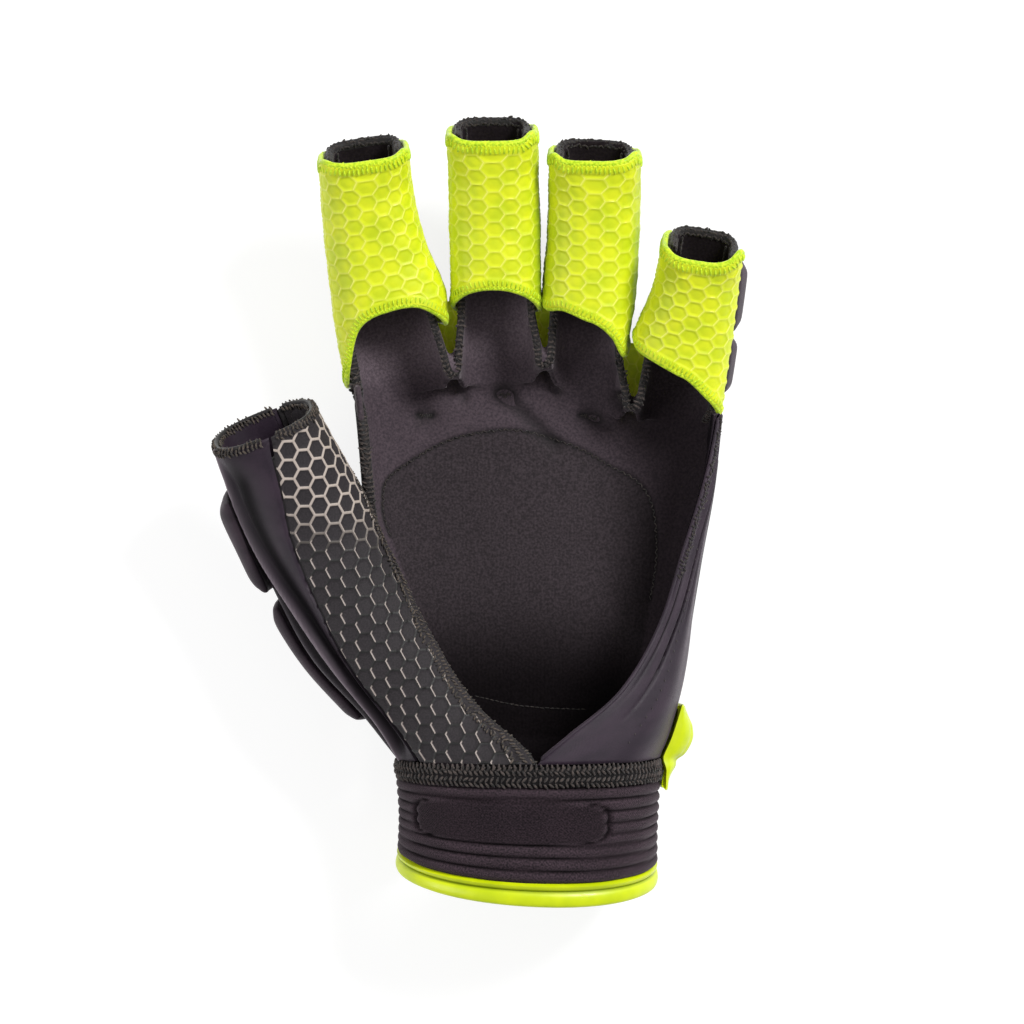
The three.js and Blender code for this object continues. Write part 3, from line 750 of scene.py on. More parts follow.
limeGrip, thumbGrip, liningCloth, limeRubber = limeGripMaterial(), thumbGripMaterial(), liningMaterial(), rubberMaterial()
stretchCloth = clothMaterial("stretchCloth", colour(50, 37, 50), colour(34, 24, 36), roughness=0.5, period=0.32,
                             weaveDepth=0.02, nap=0.02, tint=(1, 0.85, 0.97), specular=0.35)
foamCloth = clothMaterial("foamCloth", colour(60, 47, 57), colour(40, 31, 39), roughness=0.6, period=0.6,
                          weaveDepth=0.06, nap=0.05, tint=(1, 0.9, 0.97), specular=0.3)
knitCloth = clothMaterial("knitCloth", colour(70, 56, 64), colour(24, 17, 22), roughness=0.85, period=0.7,
                          weaveDepth=0.1, nap=0.08, sheen=0.15, tint=(1, 0.88, 0.95), mottle=0.06)
tapeCloth = clothMaterial("tapeCloth", colour(24, 20, 22), colour(12, 10, 11), roughness=0.75, period=0.9,
                          weaveDepth=0.14, nap=0.05, sheen=0.1)
blackThread = threadMaterial("blackThread", colour(88, 77, 68), colour(28, 24, 22))
darkThread = threadMaterial("darkThread", colour(56, 48, 44), colour(16, 14, 13))
seamThread = threadMaterial("seamThread", colour(76, 66, 62), colour(24, 20, 20))
rolledCloth = threadMaterial("rolledCloth", colour(30, 25, 27), colour(13, 11, 12))
limeThread = threadMaterial("limeThread", colour(212, 236, 36), colour(166, 202, 4), 0.5)
print("materials ready")


# Finger sleeves
sleeve = dict(cell=0.46, mouthBand=2.5, hemBand=2.4, bandRise=0.3, rim=0.72, rimDepth=0.45, spacing=1.12)


def makeSleeve(finger):
    name = finger["name"]

    def sleeveFace(u, v):
        angle = lerp(*finger["wrap"], u)
        along = lerp(sleeveHem(finger, angle), mouthLength(finger, angle), v)
        return fingerPoint(finger, angle, along, deepen=gap + sleeveWall)

    def sleeveUv(u, v):
        angle = lerp(*finger["wrap"], u)
        turn = np.linspace(-60, 240, 301)
        middle = fingerPoint(finger, turn, np.full(301, finger["length"] * 0.6), deepen=gap + sleeveWall)
        far = distanceAlong(middle)
        along = lerp(sleeveHem(finger, angle), mouthLength(finger, angle), v)
        return np.interp(angle, turn, far) - np.interp(90, turn, far), along

    def sleeveBands(u, v):
        angle = lerp(*finger["wrap"], u)
        hem, mouth = sleeveHem(finger, angle), mouthLength(finger, angle)
        along = lerp(hem, mouth, v)
        toMouth, toHem = mouth - along, along - hem
        blend = 0.5
        atMouth = smoothstep(toMouth, sleeve["mouthBand"], sleeve["mouthBand"] + blend)
        return atMouth * smoothstep(toHem, sleeve["hemBand"], sleeve["hemBand"] + blend)

    # Painted shade: the right side of a finger is darkened where the next finger stands close to it
    def sleeveShade(u, v):
        angle = lerp(*finger["wrap"], u)
        level = lerp(sleeveHem(finger, angle), finger["length"], v)
        shade = finger["shade"] * (1 - smoothstep(angle, 14, 52))
        return shade * (1 - 0.6 * smoothstep(level, finger["length"] - 22, finger["length"] - 14))

    def sleeveHeight(u, v):
        cloth = sleeveBands(u, v)
        edge = hexEdge(*sleeveUv(u, v), hexSleeve["pitch"], hexSleeve["stretch"])
        ridge = hexSleeve["relief"] * (1 - smoothstep(edge, 0.05, hexSleeve["line"] * 0.95))
        dome = 0.06 * smoothstep(edge, 0.5, 1.7)
        points = sleeveFace(u, v)
        return cloth * (ridge + dome) + (1 - cloth) * sleeve["bandRise"] + 0.25 * ripple(points, 14, len(name))

    piece = clothPiece(f"{name}_sleeve_cloth", sleeveFace, sleeve["cell"], sleeveWall, sleeveHeight, sleeveUv,
                       attributes=lambda u, v: dict(hexCloth=sleeveBands(u, v), groove=sleeveShade(u, v)))
    turn = np.linspace(0, 1, 90)
    rim = edgeRoll("rim", sleeveFace, (turn, 1.0), sleeve["rimDepth"], sleeve["rim"])
    hem = edgeRoll("hem", sleeveFace, (turn, 0.0), sleeve["rimDepth"], sleeve["rim"] * 0.85)
    rims = joined(f"{name}_sleeve_rims", [rim, hem])
    bar = dict(length=1.9, width=0.56, height=0.6, loose=0.16, stray=0.1, rise=sleeve["bandRise"] + 0.05)
    over = dict(length=1.0, width=0.62, height=0.55, slant=80, loose=0.3, stray=0.1)
    long = mouthLength(finger, lerp(*finger["wrap"], turn)) - sleeveHem(finger, lerp(*finger["wrap"], turn))
    rows = [
        (seamOn(sleeveFace, turn, 1 - 1.7 / long, sleeve["spacing"]), bar),
        (seamOn(sleeveFace, turn, 1.5 / long, sleeve["spacing"]), dict(bar, length=1.6, width=0.45, height=0.42)),
        (seamOn(sleeveFace, turn, 1 - 0.35 / long, 0.95), dict(over, rise=0.15)),
        (seamOn(sleeveFace, turn, 0.3 / long, 0.95), dict(over, rise=0.05)),
        (seamOn(sleeveFace, turn, 1 + 0.25 / long, 0.95), dict(over, rise=-0.5)),
    ]
    stitches = stitchPiece(f"{name}_sleeve_stitches", rows)
    finishPiece(piece, "lime_grip_cloth", limeGrip, f"{name}_sleeve")
    finishPiece(rims, "lime_grip_cloth", limeThread)
    finishPiece(stitches, "lime_grip_cloth", limeThread)


for finger in fingers:
    makeSleeve(finger)
print("sleeves ready")


# The lining: the hand's back and four finger channels, fused
lining = dict(voxel=0.78, smooth=5, flat=(0.19, 0.205), area=0.0172, groove=0.45)


# Its lower end is tucked into the cuff.
def handBackFace(u, v):
    angle = lerp(168, 357, u)
    top = rowAt(webs, "x", np.clip(handPoint(angle, np.full(np.shape(u), 44.0))[..., 0], -46, 50))["y"]
    y = lerp(handStart - 4, top, v)
    ring = {**rowAt(handRings, "y", y), "lean": 0}
    tuck = 3.2 * smoothstep(-y, 46, 50)
    ring["half"], ring["back"] = ring["half"] - tuck, ring["back"] - tuck
    return ringPoint(ring, lerp(ring["left"], ring["right"], u))


def channelFace(finger):
    def face(u, v):
        begin = lerp(*finger["start"], np.clip(u, 0, 1))
        length = lerp(begin, finger["length"] + channelLip, v)
        side = lerp(liningRoot, liningSide, smoothstep(length, begin, lerp(*finger["whole"], np.clip(u, 0, 1))))
        return liningPoint(finger, 270 + lerp(-side, side, u), length)
    return face


def channelShare(finger, side, length):
    start = finger["start"][side]
    return (length - start) / (finger["length"] + channelLip - start)


parts, lips, lipRows = [clothPiece("handBack", handBackFace, 1.2, liningWall, edge=0)], [], []
lipStitch = dict(length=1.35, width=0.6, height=0.62, slant=32, zigzag=True, loose=0.35, stray=0.14)
for finger in fingers:
    face = channelFace(finger)
    parts.append(clothPiece("channel", face, 1.0, liningWall, edge=0))
    turn = np.linspace(0.0, 1.0, 70)
    level = channelShare(finger, 0, finger["length"] + channelLip - 1.1)
    lips.append(edgeRoll("lip", face, (turn, level), 0.75, 1.45, sides=14, flat=0.72))
    for shift, rise in ((0, -1.75), (0.9, -1.35), (1.25, -0.75), (0.7, -0.05)):  # over the rim, from the inside out
        lipRows.append((seamOn(face, turn, level, 0.95), dict(lipStitch, shift=-shift, rise=rise)))
    for side in (0.12, 0.88):  # the seam inside each corner of the fingertip
        down = np.linspace(0.985, 0.88, 16)
        across = side + np.linspace(0, 0.06, 16) * (1 if side < 0.5 else -1)
        parts.append(edgeRoll("fold", face, (across, down), liningWall + 0.2, np.linspace(1.0, 0.5, 16)))
        lipRows.append((seamOn(face, across, down, 0.8), dict(lipStitch, rise=-liningWall - 1.1)))
lipPiece = joined("fingertip_rims", lips)
lipStitches = stitchPiece("fingertip_stitches", lipRows)
liningPiece = joined("lining_cloth", parts)
fuse = liningPiece.modifiers.new("fuse", "REMESH")
fuse.mode, fuse.voxel_size = "VOXEL", lining["voxel"] * metre
relax = liningPiece.modifiers.new("relax", "SMOOTH")
relax.iterations, relax.factor = lining["smooth"], 0.5
bake(liningPiece)
print("lining fused:", len(liningPiece.data.polygons), "faces")

# The seam across the knuckles, its bar tacks, and the creases beside them, by X and Y. A crease
# has its width and depth after its two ends.
knuckleSeam = np.array([(-35.5, 5.9), (-36.9, 10), (-37.4, 15.1), (-36.2, 20.4), (-29.6, 25.6), (-21.1, 30.2),
                        (-11.9, 32.5), (-2.7, 32.9), (6.25, 30.7), (14.2, 27.6), (20.6, 23.8), (26.6, 20.6),
                        (30.3, 16.3), (32.1, 10), (32.4, -0.3), (30.8, -10.5)])
wristSeam = np.array([(-14.2, -35.1), (-1.2, -37.9), (14.4, -38.7)])
barTacks = np.array([((-28.2, 36.9), (-25.1, 36.7)), ((-7.9, 42.3), (-4.8, 42.0)),
                     ((13.4, 36.9), (17.3, 35.9)), ((22.7, 42.2), (24.2, 38.9))])
creases = [
    ((-6.3, 41.6), (6.5, 29.6), 1.7, 1.5), ((-18.9, 45.5), (-16.6, 41.0), 1.0, 1.1),
    ((4.0, 48.5), (7.0, 42.5), 1.0, 1.2), ((15.8, 36.4), (20.5, 33.6), 1.1, 0.9),
    ((24.6, 36), (21.6, 41.5), 1.0, 0.8), ((-27.5, 35.6), (-29.4, 33.4), 0.8, 0.5),
]


def smoothLine(points, count):
    rows = dict(k=np.arange(len(points)), x=points[:, 0], y=points[:, 1])
    row = rowAt(rows, "k", np.linspace(0, len(points) - 1, count))
    return np.stack([row["x"], row["y"]], axis=1)


def distanceTo(points, line):
    best = np.full(len(points), np.inf)
    for place in line:
        best = np.minimum(best, np.hypot(points[:, 0] - place[0], points[:, 1] - place[1]))
    return best


def shapeLining(piece):
    points = coordinates(piece.data) / metre
    normals = np.empty(len(points) * 3)
    piece.data.vertices.foreach_get("normal", normals)
    normals = normals.reshape(-1, 3)
    inside = smoothstep(normals[:, 2], 0.1, 0.5)
    seam = smoothLine(knuckleSeam, 220)
    toSeam, side = np.full(len(points), np.inf), np.zeros(len(points))
    for place, way in zip(seam, np.gradient(seam, axis=0)):
        offset = points[:, :2] - place
        near = np.hypot(offset[:, 0], offset[:, 1])
        closer = near < toSeam
        side[closer] = (way[0] * offset[:, 1] - way[1] * offset[:, 0])[closer] / np.hypot(*way)
        toSeam[closer] = near[closer]
    above = smoothstep(side, -0.25, 0.25)
    drop = -lining["groove"] * bell(toSeam / 0.7) + 0.3 * above * bell(toSeam / 3)
    drop += -0.25 * bell(distanceTo(points, smoothLine(wristSeam, 60)) / 0.8)
    # The seam line is darkened, and painted shade goes into the tacks' dents and holes and into the creases
    shade = 0.95 * bell(toSeam / 0.5)
    for ends in barTacks:
        tack = ends.mean(0)
        near = np.hypot(points[:, 0] - tack[0], points[:, 1] - tack[1])
        drop += -1.2 * bell(near / 3.2)
        shade += 0.4 * bell(near / 2.6)
        for end in ends:
            hole = np.hypot(points[:, 0] - end[0], (points[:, 1] - end[1]) * 1.4)
            drop += -0.9 * bell(hole / 1.1)
            shade += bell(hole / 1.15)
    for start, end, wide, deep in creases:
        share = np.linspace(0, 1, 40)[:, None]
        near = distanceTo(points, lerp(np.array(start), np.array(end), share))
        drop += -deep * bell(near / wide)
        shade += 0.4 * deep * bell(near / wide / 1.2)
    drop += 0.35 * ripple(points, 26, 3) + 0.14 * ripple(points * (1, 0.35, 1), 7, 4)
    # Painted shade towards the wrist, on the little finger's side of the palm and in each channel under the sleeve's
    # hem, and painted light in the channels beyond the crotches
    deep = 0.95 * smoothstep(-points[:, 1], 4, 34)
    deep = np.maximum(deep, 0.75 * smoothstep(points[:, 0], 13, 33) * (1 - smoothstep(points[:, 1], 50, 60)))
    channel = np.zeros(len(points))
    for finger in fingers:
        cos, sin = cosAndSin(finger["lean"])
        across, along = points[:, 0] - finger["x"], points[:, 1] - finger["y"]
        across, along = cos * across + sin * along, cos * along - sin * across
        hem = finger["hem"][4]
        inChannel = np.abs(across) < 15
        deep = np.maximum(deep, smoothstep(along, hem - 12, hem + 7) * inChannel)
        channel = np.maximum(channel, smoothstep(along, finger["crotch"] - 7, finger["crotch"] + 5) * inChannel)
    points = points + normals * (drop * inside)[:, None]
    moveTo(piece.data, points)
    paint(piece.data, "paintedDeepShade", 0.9 * deep)
    paint(piece.data, "paintedChannelLight", channel)
    paint(piece.data, "smoothCloth", above)
    paint(piece.data, "seamShade", np.clip(shade * inside, 0, 1))
    smoothFaces(piece.data, 180)


shapeLining(liningPiece)
finishPiece(liningPiece, "lining_cloth", liningCloth, "lining")
corners = [v.co for v in liningPiece.data.vertices]
liningTree = BVHTree.FromPolygons(corners, [p.vertices[:] for p in liningPiece.data.polygons])


# Places on the palm side of the lining straight below points given by X and Y.
def onLining(points):
    places, ups = [], []
    for x, y in points:
        hit, normal, _, _ = liningTree.ray_cast(Vector((x, y, 200)) * metre, Vector((0, 0, -1)))
        if hit is None:
            hit, normal = Vector((x, y, 10)) * metre, Vector((0, 0, 1))
        places.append(np.array(hit) / metre)
        ups.append(np.array(normal))
    return np.array(places), np.array(ups)


def stitchesOnLining(line, spacing):
    line = smoothLine(line, 400)
    far = distanceAlong(line)
    count = int(far[-1] / spacing)
    stops = (np.arange(count) + 0.5) / count * far[-1]
    flat = np.stack([np.interp(stops, far, line[:, k]) for k in (0, 1)], axis=1)
    places, ups = onLining(flat)
    return places, np.gradient(places, axis=0), ups


seamStitch = dict(length=1.3, width=0.34, slant=38, zigzag=True, rise=0.06)
tackStitch = dict(length=1.3, width=0.34, slant=75, height=0.4, loose=0.4, stray=0.2)
rows = [
    (stitchesOnLining(knuckleSeam, 0.95), seamStitch),
    (stitchesOnLining(wristSeam, 1.3), dict(seamStitch, slant=0, zigzag=False)),
]
for ends in barTacks:
    tackLine = np.array([ends[0], ends.mean(0) - (0, 0.3), ends[1]])
    rows.append((stitchesOnLining(tackLine, 0.45), tackStitch))
liningStitches = stitchPiece("lining_stitches", rows)
finishPiece(liningStitches, "lining_cloth", darkThread)

# Strips along the open edges of the channels, as a line and a width. A strip between two fingers runs
# down one, round the crotch and up the next. The first runs on along the thumb's side of the hand's
# back. The last is the plain seam under the little finger, and all the others are overlocked.
overlock = dict(width=0.6, height=0.7, loose=0.35, stray=0.22)


# A line in the middle of a wall's open edge, with the directions out of the edge.
def openEdge(face, u, v):
    u = np.full(len(v), u)
    up, line = outwards(face, u, v), face(u, v)
    edge = np.cross(np.gradient(line, axis=0), up)
    edge *= np.sign(edge[:, 2].mean())
    return line - up * liningWall / 2, edge / np.linalg.norm(edge, axis=1, keepdims=True)


def channelEdge(finger, side, high, low):
    share = np.linspace(channelShare(finger, side, high), channelShare(finger, side, low), 50)
    return openEdge(channelFace(finger), (0.01, 0.99)[side], share)


def handEdge(u, high, low):
    return openEdge(handBackFace, u, np.linspace(high, low, 60))


# One even line through several, with the directions beside them.
def chained(runs, step=0.6):
    line, up = np.concatenate([r[0] for r in runs]), np.concatenate([r[1] for r in runs])
    for _ in range(12):
        for values in (line, up):
            values[1:-1] = values[1:-1] * 0.5 + (values[:-2] + values[2:]) * 0.25
    far = distanceAlong(line)
    stops = np.linspace(0, far[-1], max(8, int(far[-1] / step)))
    pick = lambda values: np.stack([np.interp(stops, far, values[:, k]) for k in range(3)], axis=1)
    return pick(line), pick(up)


def bothWays(run):
    return run[0][::-1], run[1][::-1]


index, middle, ringFinger, little = fingers
edges = [
    (chained([channelEdge(index, 0, 22, 10), handEdge(0.004, 0.93, 0.5)]), 1.5),
    (chained([channelEdge(index, 1, 34, 11), bothWays(channelEdge(middle, 0, 34, 8))]), 0.95),
    (chained([channelEdge(middle, 1, 32, 10), bothWays(channelEdge(ringFinger, 0, 32, 11))]), 0.95),
    (chained([channelEdge(ringFinger, 1, 24, 0), bothWays(channelEdge(little, 0, 30, 9))]), 0.95),
    (chained([channelEdge(little, 1, 16, 8)]), 1.1),
    (chained([handEdge(1.0, 0.9, 0.05)]), 1.0),
]
rows, strips = [], []
overlockRows = ((-0.55, 58), (0.55, 122), (0, 90))
for number, ((line, up), wide) in enumerate(edges):
    strips.append(rollPiece("strip", line, up, wide, 12, 0.6))
    for shift, slant in overlockRows if number < len(edges) - 1 else ():
        stops = np.arange(1, len(line) - 1, 2)
        size = dict(overlock, slant=slant, shift=shift * wide, rise=(0.62 - 0.16 * abs(shift)) * wide,
                    length=1.2 * wide + 0.2)
        rows.append(((line[stops], np.gradient(line, axis=0)[stops], up[stops]), size))
liningStrips = joined("lining_edge_strips", strips)
stripStitches = stitchPiece("lining_edge_stitches", rows)
finishPiece(liningStrips, "lining_cloth", rolledCloth)
finishPiece(stripStitches, "lining_cloth", seamThread)
finishPiece(lipPiece, "lining_cloth", rolledCloth)
finishPiece(lipStitches, "lining_cloth", darkThread)
# Lime gussets in the crotches, behind the strips: two upper corners and the lower end of each
gussets = [
    ((-24.8, 65.5), (-16.6, 66.5), (-20.0, 47.8)),
    ((0.2, 65.5), (7.2, 65.5), (3.8, 51.2)),
    ((22.2, 55.5), (31.6, 55.0), (26.2, 38.0)),
]
gussetPieces = []
for left, right, low in gussets:
    def gussetFace(u, v, left=left, right=right, low=low):
        spots = [np.array(p)[:, None] for p in (left, right, low)]
        flat = lerp(spots[2] + np.array([[-1.0], [0]]) * (1 - 2 * u), lerp(spots[0], spots[1], u), v)
        return np.stack([flat[0], flat[1], lerp(13.5, 9.5, v) - 1.2 * np.sin(np.pi * u) * v], axis=-1)
    gussetPieces.append(clothPiece("gusset", gussetFace, 0.5, 0.9, edge=0.3,
                                   attributes=lambda u, v: dict(hexCloth=np.ones(len(u)))))
gussetCloth = joined("crotch_gussets", gussetPieces, 55)
finishPiece(gussetCloth, "lime_grip_cloth", limeGrip)
print("lining ready")


# The outer palm panel
palmPanel = dict(cell=0.62, fold=1.2, crease=0.9, flat=(0.052, 0.086), area=0.0022)


def palmFace(u, v):
    y = lerp(handStart, palmPanelEnd + 3, v)
    ring = rowAt(handRings, "y", y)
    return handPoint(lerp(ring["right"] + 1, ring["open"], u), y)


# Long folds, sharp where they leave the little finger and soft by the wrist. Each has its place
# across the panel by the wrist and by the finger, its width and where it starts.
def palmCreases(u, v):
    rows = ((0.80, 0.46, 0.020, 0.1), (0.58, 0.30, 0.024, 0.35), (0.30, 0.2, 0.03, 0.55))
    total = np.zeros(np.shape(u))
    for low, high, wide, start in rows:
        middle = lerp(low, high, smoothstep(v, start, 1.0))
        total = np.maximum(total, bell((u - middle) / wide) * smoothstep(v, start, start + 0.25))
    return total


def palmHeight(u, v):
    folds = -palmPanel["fold"] * np.sin(2 * np.pi * np.clip(u, 0, 1)) ** 2 * lerp(0.35, 0.8, smoothstep(v, 0.35, 0.8))
    return folds - palmPanel["crease"] * palmCreases(u, v) + 0.35 * ripple(palmFace(u, v), 22, 8)


# The seam beside its free edge
def palmSeam(u, v):
    ring = rowAt(handRings, "y", palmFace(u, v)[..., 1])
    toEdge = (1 - u) * np.radians(ring["open"] - ring["right"]) * (ring["half"] + ring["front"]) / 2
    return bell((toEdge - 2.1) / 0.4) * smoothstep(v, 0.12, 0.4)


# Painted shade in the creases, and a dark line along the seam, through an attribute
palmCloth = clothPiece("outer_palm_cloth", palmFace, palmPanel["cell"], panelWall,
                       lambda u, v: palmHeight(u, v) - 0.3 * palmSeam(u, v),
                       attributes=lambda u, v: dict(groove=np.maximum(0.85 * palmCreases(u, v), 0.9 * palmSeam(u, v))))
v = np.linspace(0.01, 0.99, 120)
palmRoll = edgeRoll("outer_palm_edge", palmFace, (1.0, v), 0.6, 0.6, (0.999, v))
share = np.linspace(0.52, 0.99, 60)
fray = dict(length=1.5, width=0.42, height=0.45, loose=0.5, stray=0.3, rise=0.15)
rows = [(seamOn(palmFace, u, share, 1.0), dict(fray, slant=slant)) for u, slant in ((0.975, 60), (0.93, 115))]
needle = np.linspace(0.05, 0.62, 60)
prick = dict(length=0.55, width=0.3, height=0.14, slant=20)
rows.append((seamOn(palmFace, lerp(0.62, 0.72, needle), needle, 2.6), prick))
palmStitches = stitchPiece("outer_palm_stitches", rows)
finishPiece(palmCloth, "stretch_cloth", stretchCloth, "outer_palm_panel")
finishPiece(palmRoll, "stretch_cloth", stretchCloth)
finishPiece(palmStitches, "stretch_cloth", darkThread)
print("palm panel ready")


# The thumb's panels
thumb = dict(gripCell=0.46, sideCell=0.6, long=98, width=15, gripFlat=(0.036, 0.12), gripArea=0.0034,
             sideFlat=(0.07, 0.115), sideArea=0.0050)


def gripAngle(u, v):
    ring = rowAt(thumbRings, "at", v * thumbEnd)
    return lerp(ring["edge"], ring["seam"] - seamGap / 2, u)


def gripFace(u, v):
    return thumbPoint(gripAngle(u, v), v * thumbEnd)


# The panel rolled flat about its ridge, so that the hexagons keep their size on its sides.
def gripUv(u, v):
    ring = thumbRing(v * thumbEnd)
    ridge = ringPoint(ring, np.full(np.shape(u), 90.0))
    angle = gripAngle(u, v)
    far, last = np.zeros(np.shape(u)), ridge
    for step in np.linspace(0, 1, 25)[1:]:
        now = ringPoint(ring, lerp(90, angle, step))
        far += np.linalg.norm(now - last, axis=-1)
        last = now
    far *= np.sign(90 - angle)
    lean = np.radians(ring["lean"])
    return ridge[..., 0] + np.cos(lean) * far, ridge[..., 1] + np.sin(lean) * far


def gripBands(u, v):
    ring = thumbRing(v * thumbEnd)
    wide = np.radians(ring["seam"] - ring["edge"]) * (ring["half"] + ring["deep"]) / 2
    return smoothstep(u * wide, 2.3, 2.8) * smoothstep((1 - v) * thumb["long"], 2.8, 3.3)


def gripHeight(u, v):
    cloth = gripBands(u, v)
    edge = hexEdge(*gripUv(u, v), hexThumb["pitch"], hexThumb["stretch"])
    ridge = hexThumb["relief"] * (1 - smoothstep(edge, 0.06, hexThumb["line"] * 0.85))
    return cloth * ridge + (1 - cloth) * 0.25 + 0.4 * ripple(gripFace(u, v), 20, 5)


def gripTones(u, v):
    y = gripFace(u, v)[..., 1]
    return dict(hexCloth=gripBands(u, v), paleLines=smoothstep(y, 1, 16))


gripCloth = clothPiece("thumb_grip_cloth", gripFace, thumb["gripCell"], panelWall, gripHeight, gripUv,
                       attributes=gripTones)


def sideFace(u, v):
    ring = rowAt(thumbRings, "at", v * thumbEnd)
    end = np.minimum(ring["end"], ring["edge"] + 360) - 1.6 * seamGap
    return thumbPoint(lerp(ring["seam"] + seamGap / 2, end, u), v * thumbEnd)


# How far a place is from the rolled fold along the panel's outer side, and the seam from it
def sideFold(u, v):
    ring = rowAt(thumbRings, "at", v * thumbEnd)
    arc = np.radians(ring["end"] - ring["seam"]) * (ring["half"] + ring["deep"]) / 2
    fold = (ring["ridge"] - ring["seam"]) / (ring["end"] - ring["seam"])
    ends = smoothstep(v, 0.01, 0.1) * (1 - smoothstep(v, 0.88, 0.97))
    return (u - fold) * arc, fold * arc, ends


def sideHeight(u, v):
    beyond, wide, ends = sideFold(u, v)
    valley = -1.7 * ends * smoothstep(-beyond, 0.5, 3.2) * (1 - smoothstep(-beyond / wide, 0.5, 0.98))
    rolled = 0.6 * bell((beyond + 0.2) / 0.9)
    under = -1.5 * ends * smoothstep(beyond, 0.5, 1.8) * (1 - smoothstep(beyond, 4, 8))
    return valley + rolled + under + 0.2 * ripple(sideFace(u, v), 24, 6)


# Painted shade in the valley beside the rolled fold, towards the wrist between fold and seam, and beyond the fold
# towards the pads, with a painted highlight along the fold
def sideShadeAndHighlight(u, v):
    beyond, wide, ends = sideFold(u, v)
    valley = 0.92 * bell((beyond + 0.3 * wide + 1.2) / (0.2 * wide + 1.1))
    low = 0.6 * smoothstep(-beyond, 2, 4) * (1 - smoothstep(v, 0.3, 0.6))
    under = 0.9 * smoothstep(beyond, 0.4, 0.9) * (1 - smoothstep(beyond, 5, 10))
    groove = np.maximum(np.maximum(valley, low) * lerp(0.5, 1, ends), under * (1 - smoothstep(v, 0.86, 0.94)))
    return dict(groove=groove, wornEdge=0.8 * bell((beyond + 0.1) / 0.5) + 0.2 * bell((beyond + 1) / 0.9))


sideCloth = clothPiece("thumb_side_cloth", sideFace, thumb["sideCell"], panelWall, sideHeight, attributes=sideShadeAndHighlight)
along, turn = np.linspace(0.005, 0.995, 140), np.linspace(0.02, 0.98, 60)
back, front = np.linspace(0.03, 0.56, 70), np.linspace(0.004, 0.93, 120)
thumbRims = joined("thumb_rims", [
    edgeRoll("edge", gripFace, (0.0, along), 0.7, 0.7, (0.001, along)),
    edgeRoll("rim", gripFace, (turn, 1.0), 0.7, 0.65, (turn, 0.999)),
    edgeRoll("rim", sideFace, (turn, 1.0), 0.7, 0.65, (turn, 0.999)),
    edgeRoll("seam", sideFace, (1.006, back), 0.6, 1.1, (0.998, back)),
    edgeRoll("seam", sideFace, (-0.008, front), 1.75, 1.25, (0.002, front)),
])
band = dict(length=1.6, width=0.55, height=0.62, slant=68, loose=0.35, stray=0.22)
rows = []
for inset, slant, rise in ((-0.25, 75, -0.2), (0.7, 62, 0.35), (1.9, 118, 0.4)):
    size = dict(band, slant=slant, rise=rise)
    rows.append((seamOn(gripFace, (inset + 0.25) / thumb["width"], np.linspace(0.005, 0.84, 60), 0.95), size))
    for face in (gripFace, sideFace):
        rows.append((seamOn(face, turn, 1 - inset / thumb["long"], 1.05), dict(size, length=1.35, loose=0.15)))
        if inset < 1:  # the stitches show inside the mouth too
            row = dict(size, length=1.35, rise=-panelWall - 0.1)
            rows.append((seamOn(face, turn, 1 - (inset + 0.8) / thumb["long"], 1.05), row))
thumbStitches = stitchPiece("thumb_stitches", rows)
finishPiece(gripCloth, "black_grip_cloth", thumbGrip, "thumb_grip_panel")
finishPiece(sideCloth, "stretch_cloth", stretchCloth, "thumb_side_panel")
finishPiece(thumbRims, "black_grip_cloth", rolledCloth)
finishPiece(thumbStitches, "black_grip_cloth", blackThread)
print("thumb ready")


# Foam pads
pads = dict(cell=1.3, hand=6.6, edge=1.4, thumbGap=1.0, fill=0.8)
padTable = [
    dict(name="knuckle_pad_index", x=(-36.5, -22), y=(20, 39.5)),
    dict(name="knuckle_pad_middle", x=(-19.5, -1.5), y=(21.5, 46)),
    dict(name="knuckle_pad_ring", x=(1, 19.5), y=(20.5, 45)),
    dict(name="knuckle_pad_little", x=(22, 39), y=(13, 35)),
    dict(name="hand_pad_inner", x=(-30, -12), y=(-28, 17)),
    dict(name="hand_pad_middle", x=(-9.5, 10), y=(-31, 18)),
    dict(name="hand_pad_outer", x=(12.5, 31), y=(-28, 10)),
]
thumbPads = [
    dict(name="thumb_pad_near", at=(0.95, 2.96), angles=(179, 232), height=4.1),
    dict(name="thumb_pad_far", at=(3.12, 5.08), angles=(172, 238), height=4),
]


# A foam pad: its crowned top, closed by the flat wall that its cloth is sewn to.
def padPiece(name, face, height, base, floor=None):
    def corner(u, v):  # pulls the outline's corners in to round them
        a, b = 2 * u - 1, 2 * v - 1
        pull = 1 - 0.07 * (a * a * b * b)
        return face(0.5 + a * pull / 2, 0.5 + b * pull / 2)

    def stand(u, v):
        dome = lambda t: 1 - np.abs(2 * np.clip(t, 0, 1) - 1) ** 5
        top = base + pads["edge"] + (height - pads["edge"]) * np.minimum(dome(u), dome(v))
        lip = np.minimum(np.minimum(u, 1 - u), np.minimum(v, 1 - v))
        return top - 0.35 * bell((lip - 0.055) / 0.02)

    piece = clothPiece(name, corner, pads["cell"], 0, stand, edge=0, floor=floor)
    bottom = clothPiece("bottom", corner, pads["cell"], 0, lambda u, v: np.full(len(u), base), edge=0, floor=floor)
    bm = bmesh.new()
    bm.from_mesh(bottom.data)
    bmesh.ops.reverse_faces(bm, faces=bm.faces)
    bm.from_mesh(piece.data)
    border = [e for e in bm.edges if e.is_boundary]
    bmesh.ops.bridge_loops(bm, edges=border)
    bm.to_mesh(piece.data)
    bm.free()
    bpy.data.objects.remove(bottom)
    smooth = piece.modifiers.new("smooth", "SUBSURF")
    smooth.levels = smooth.render_levels = 1
    bake(piece)
    smoothFaces(piece.data, 180)
    finishPiece(piece, "foam", foamCloth, name.replace("_cushion", ""))


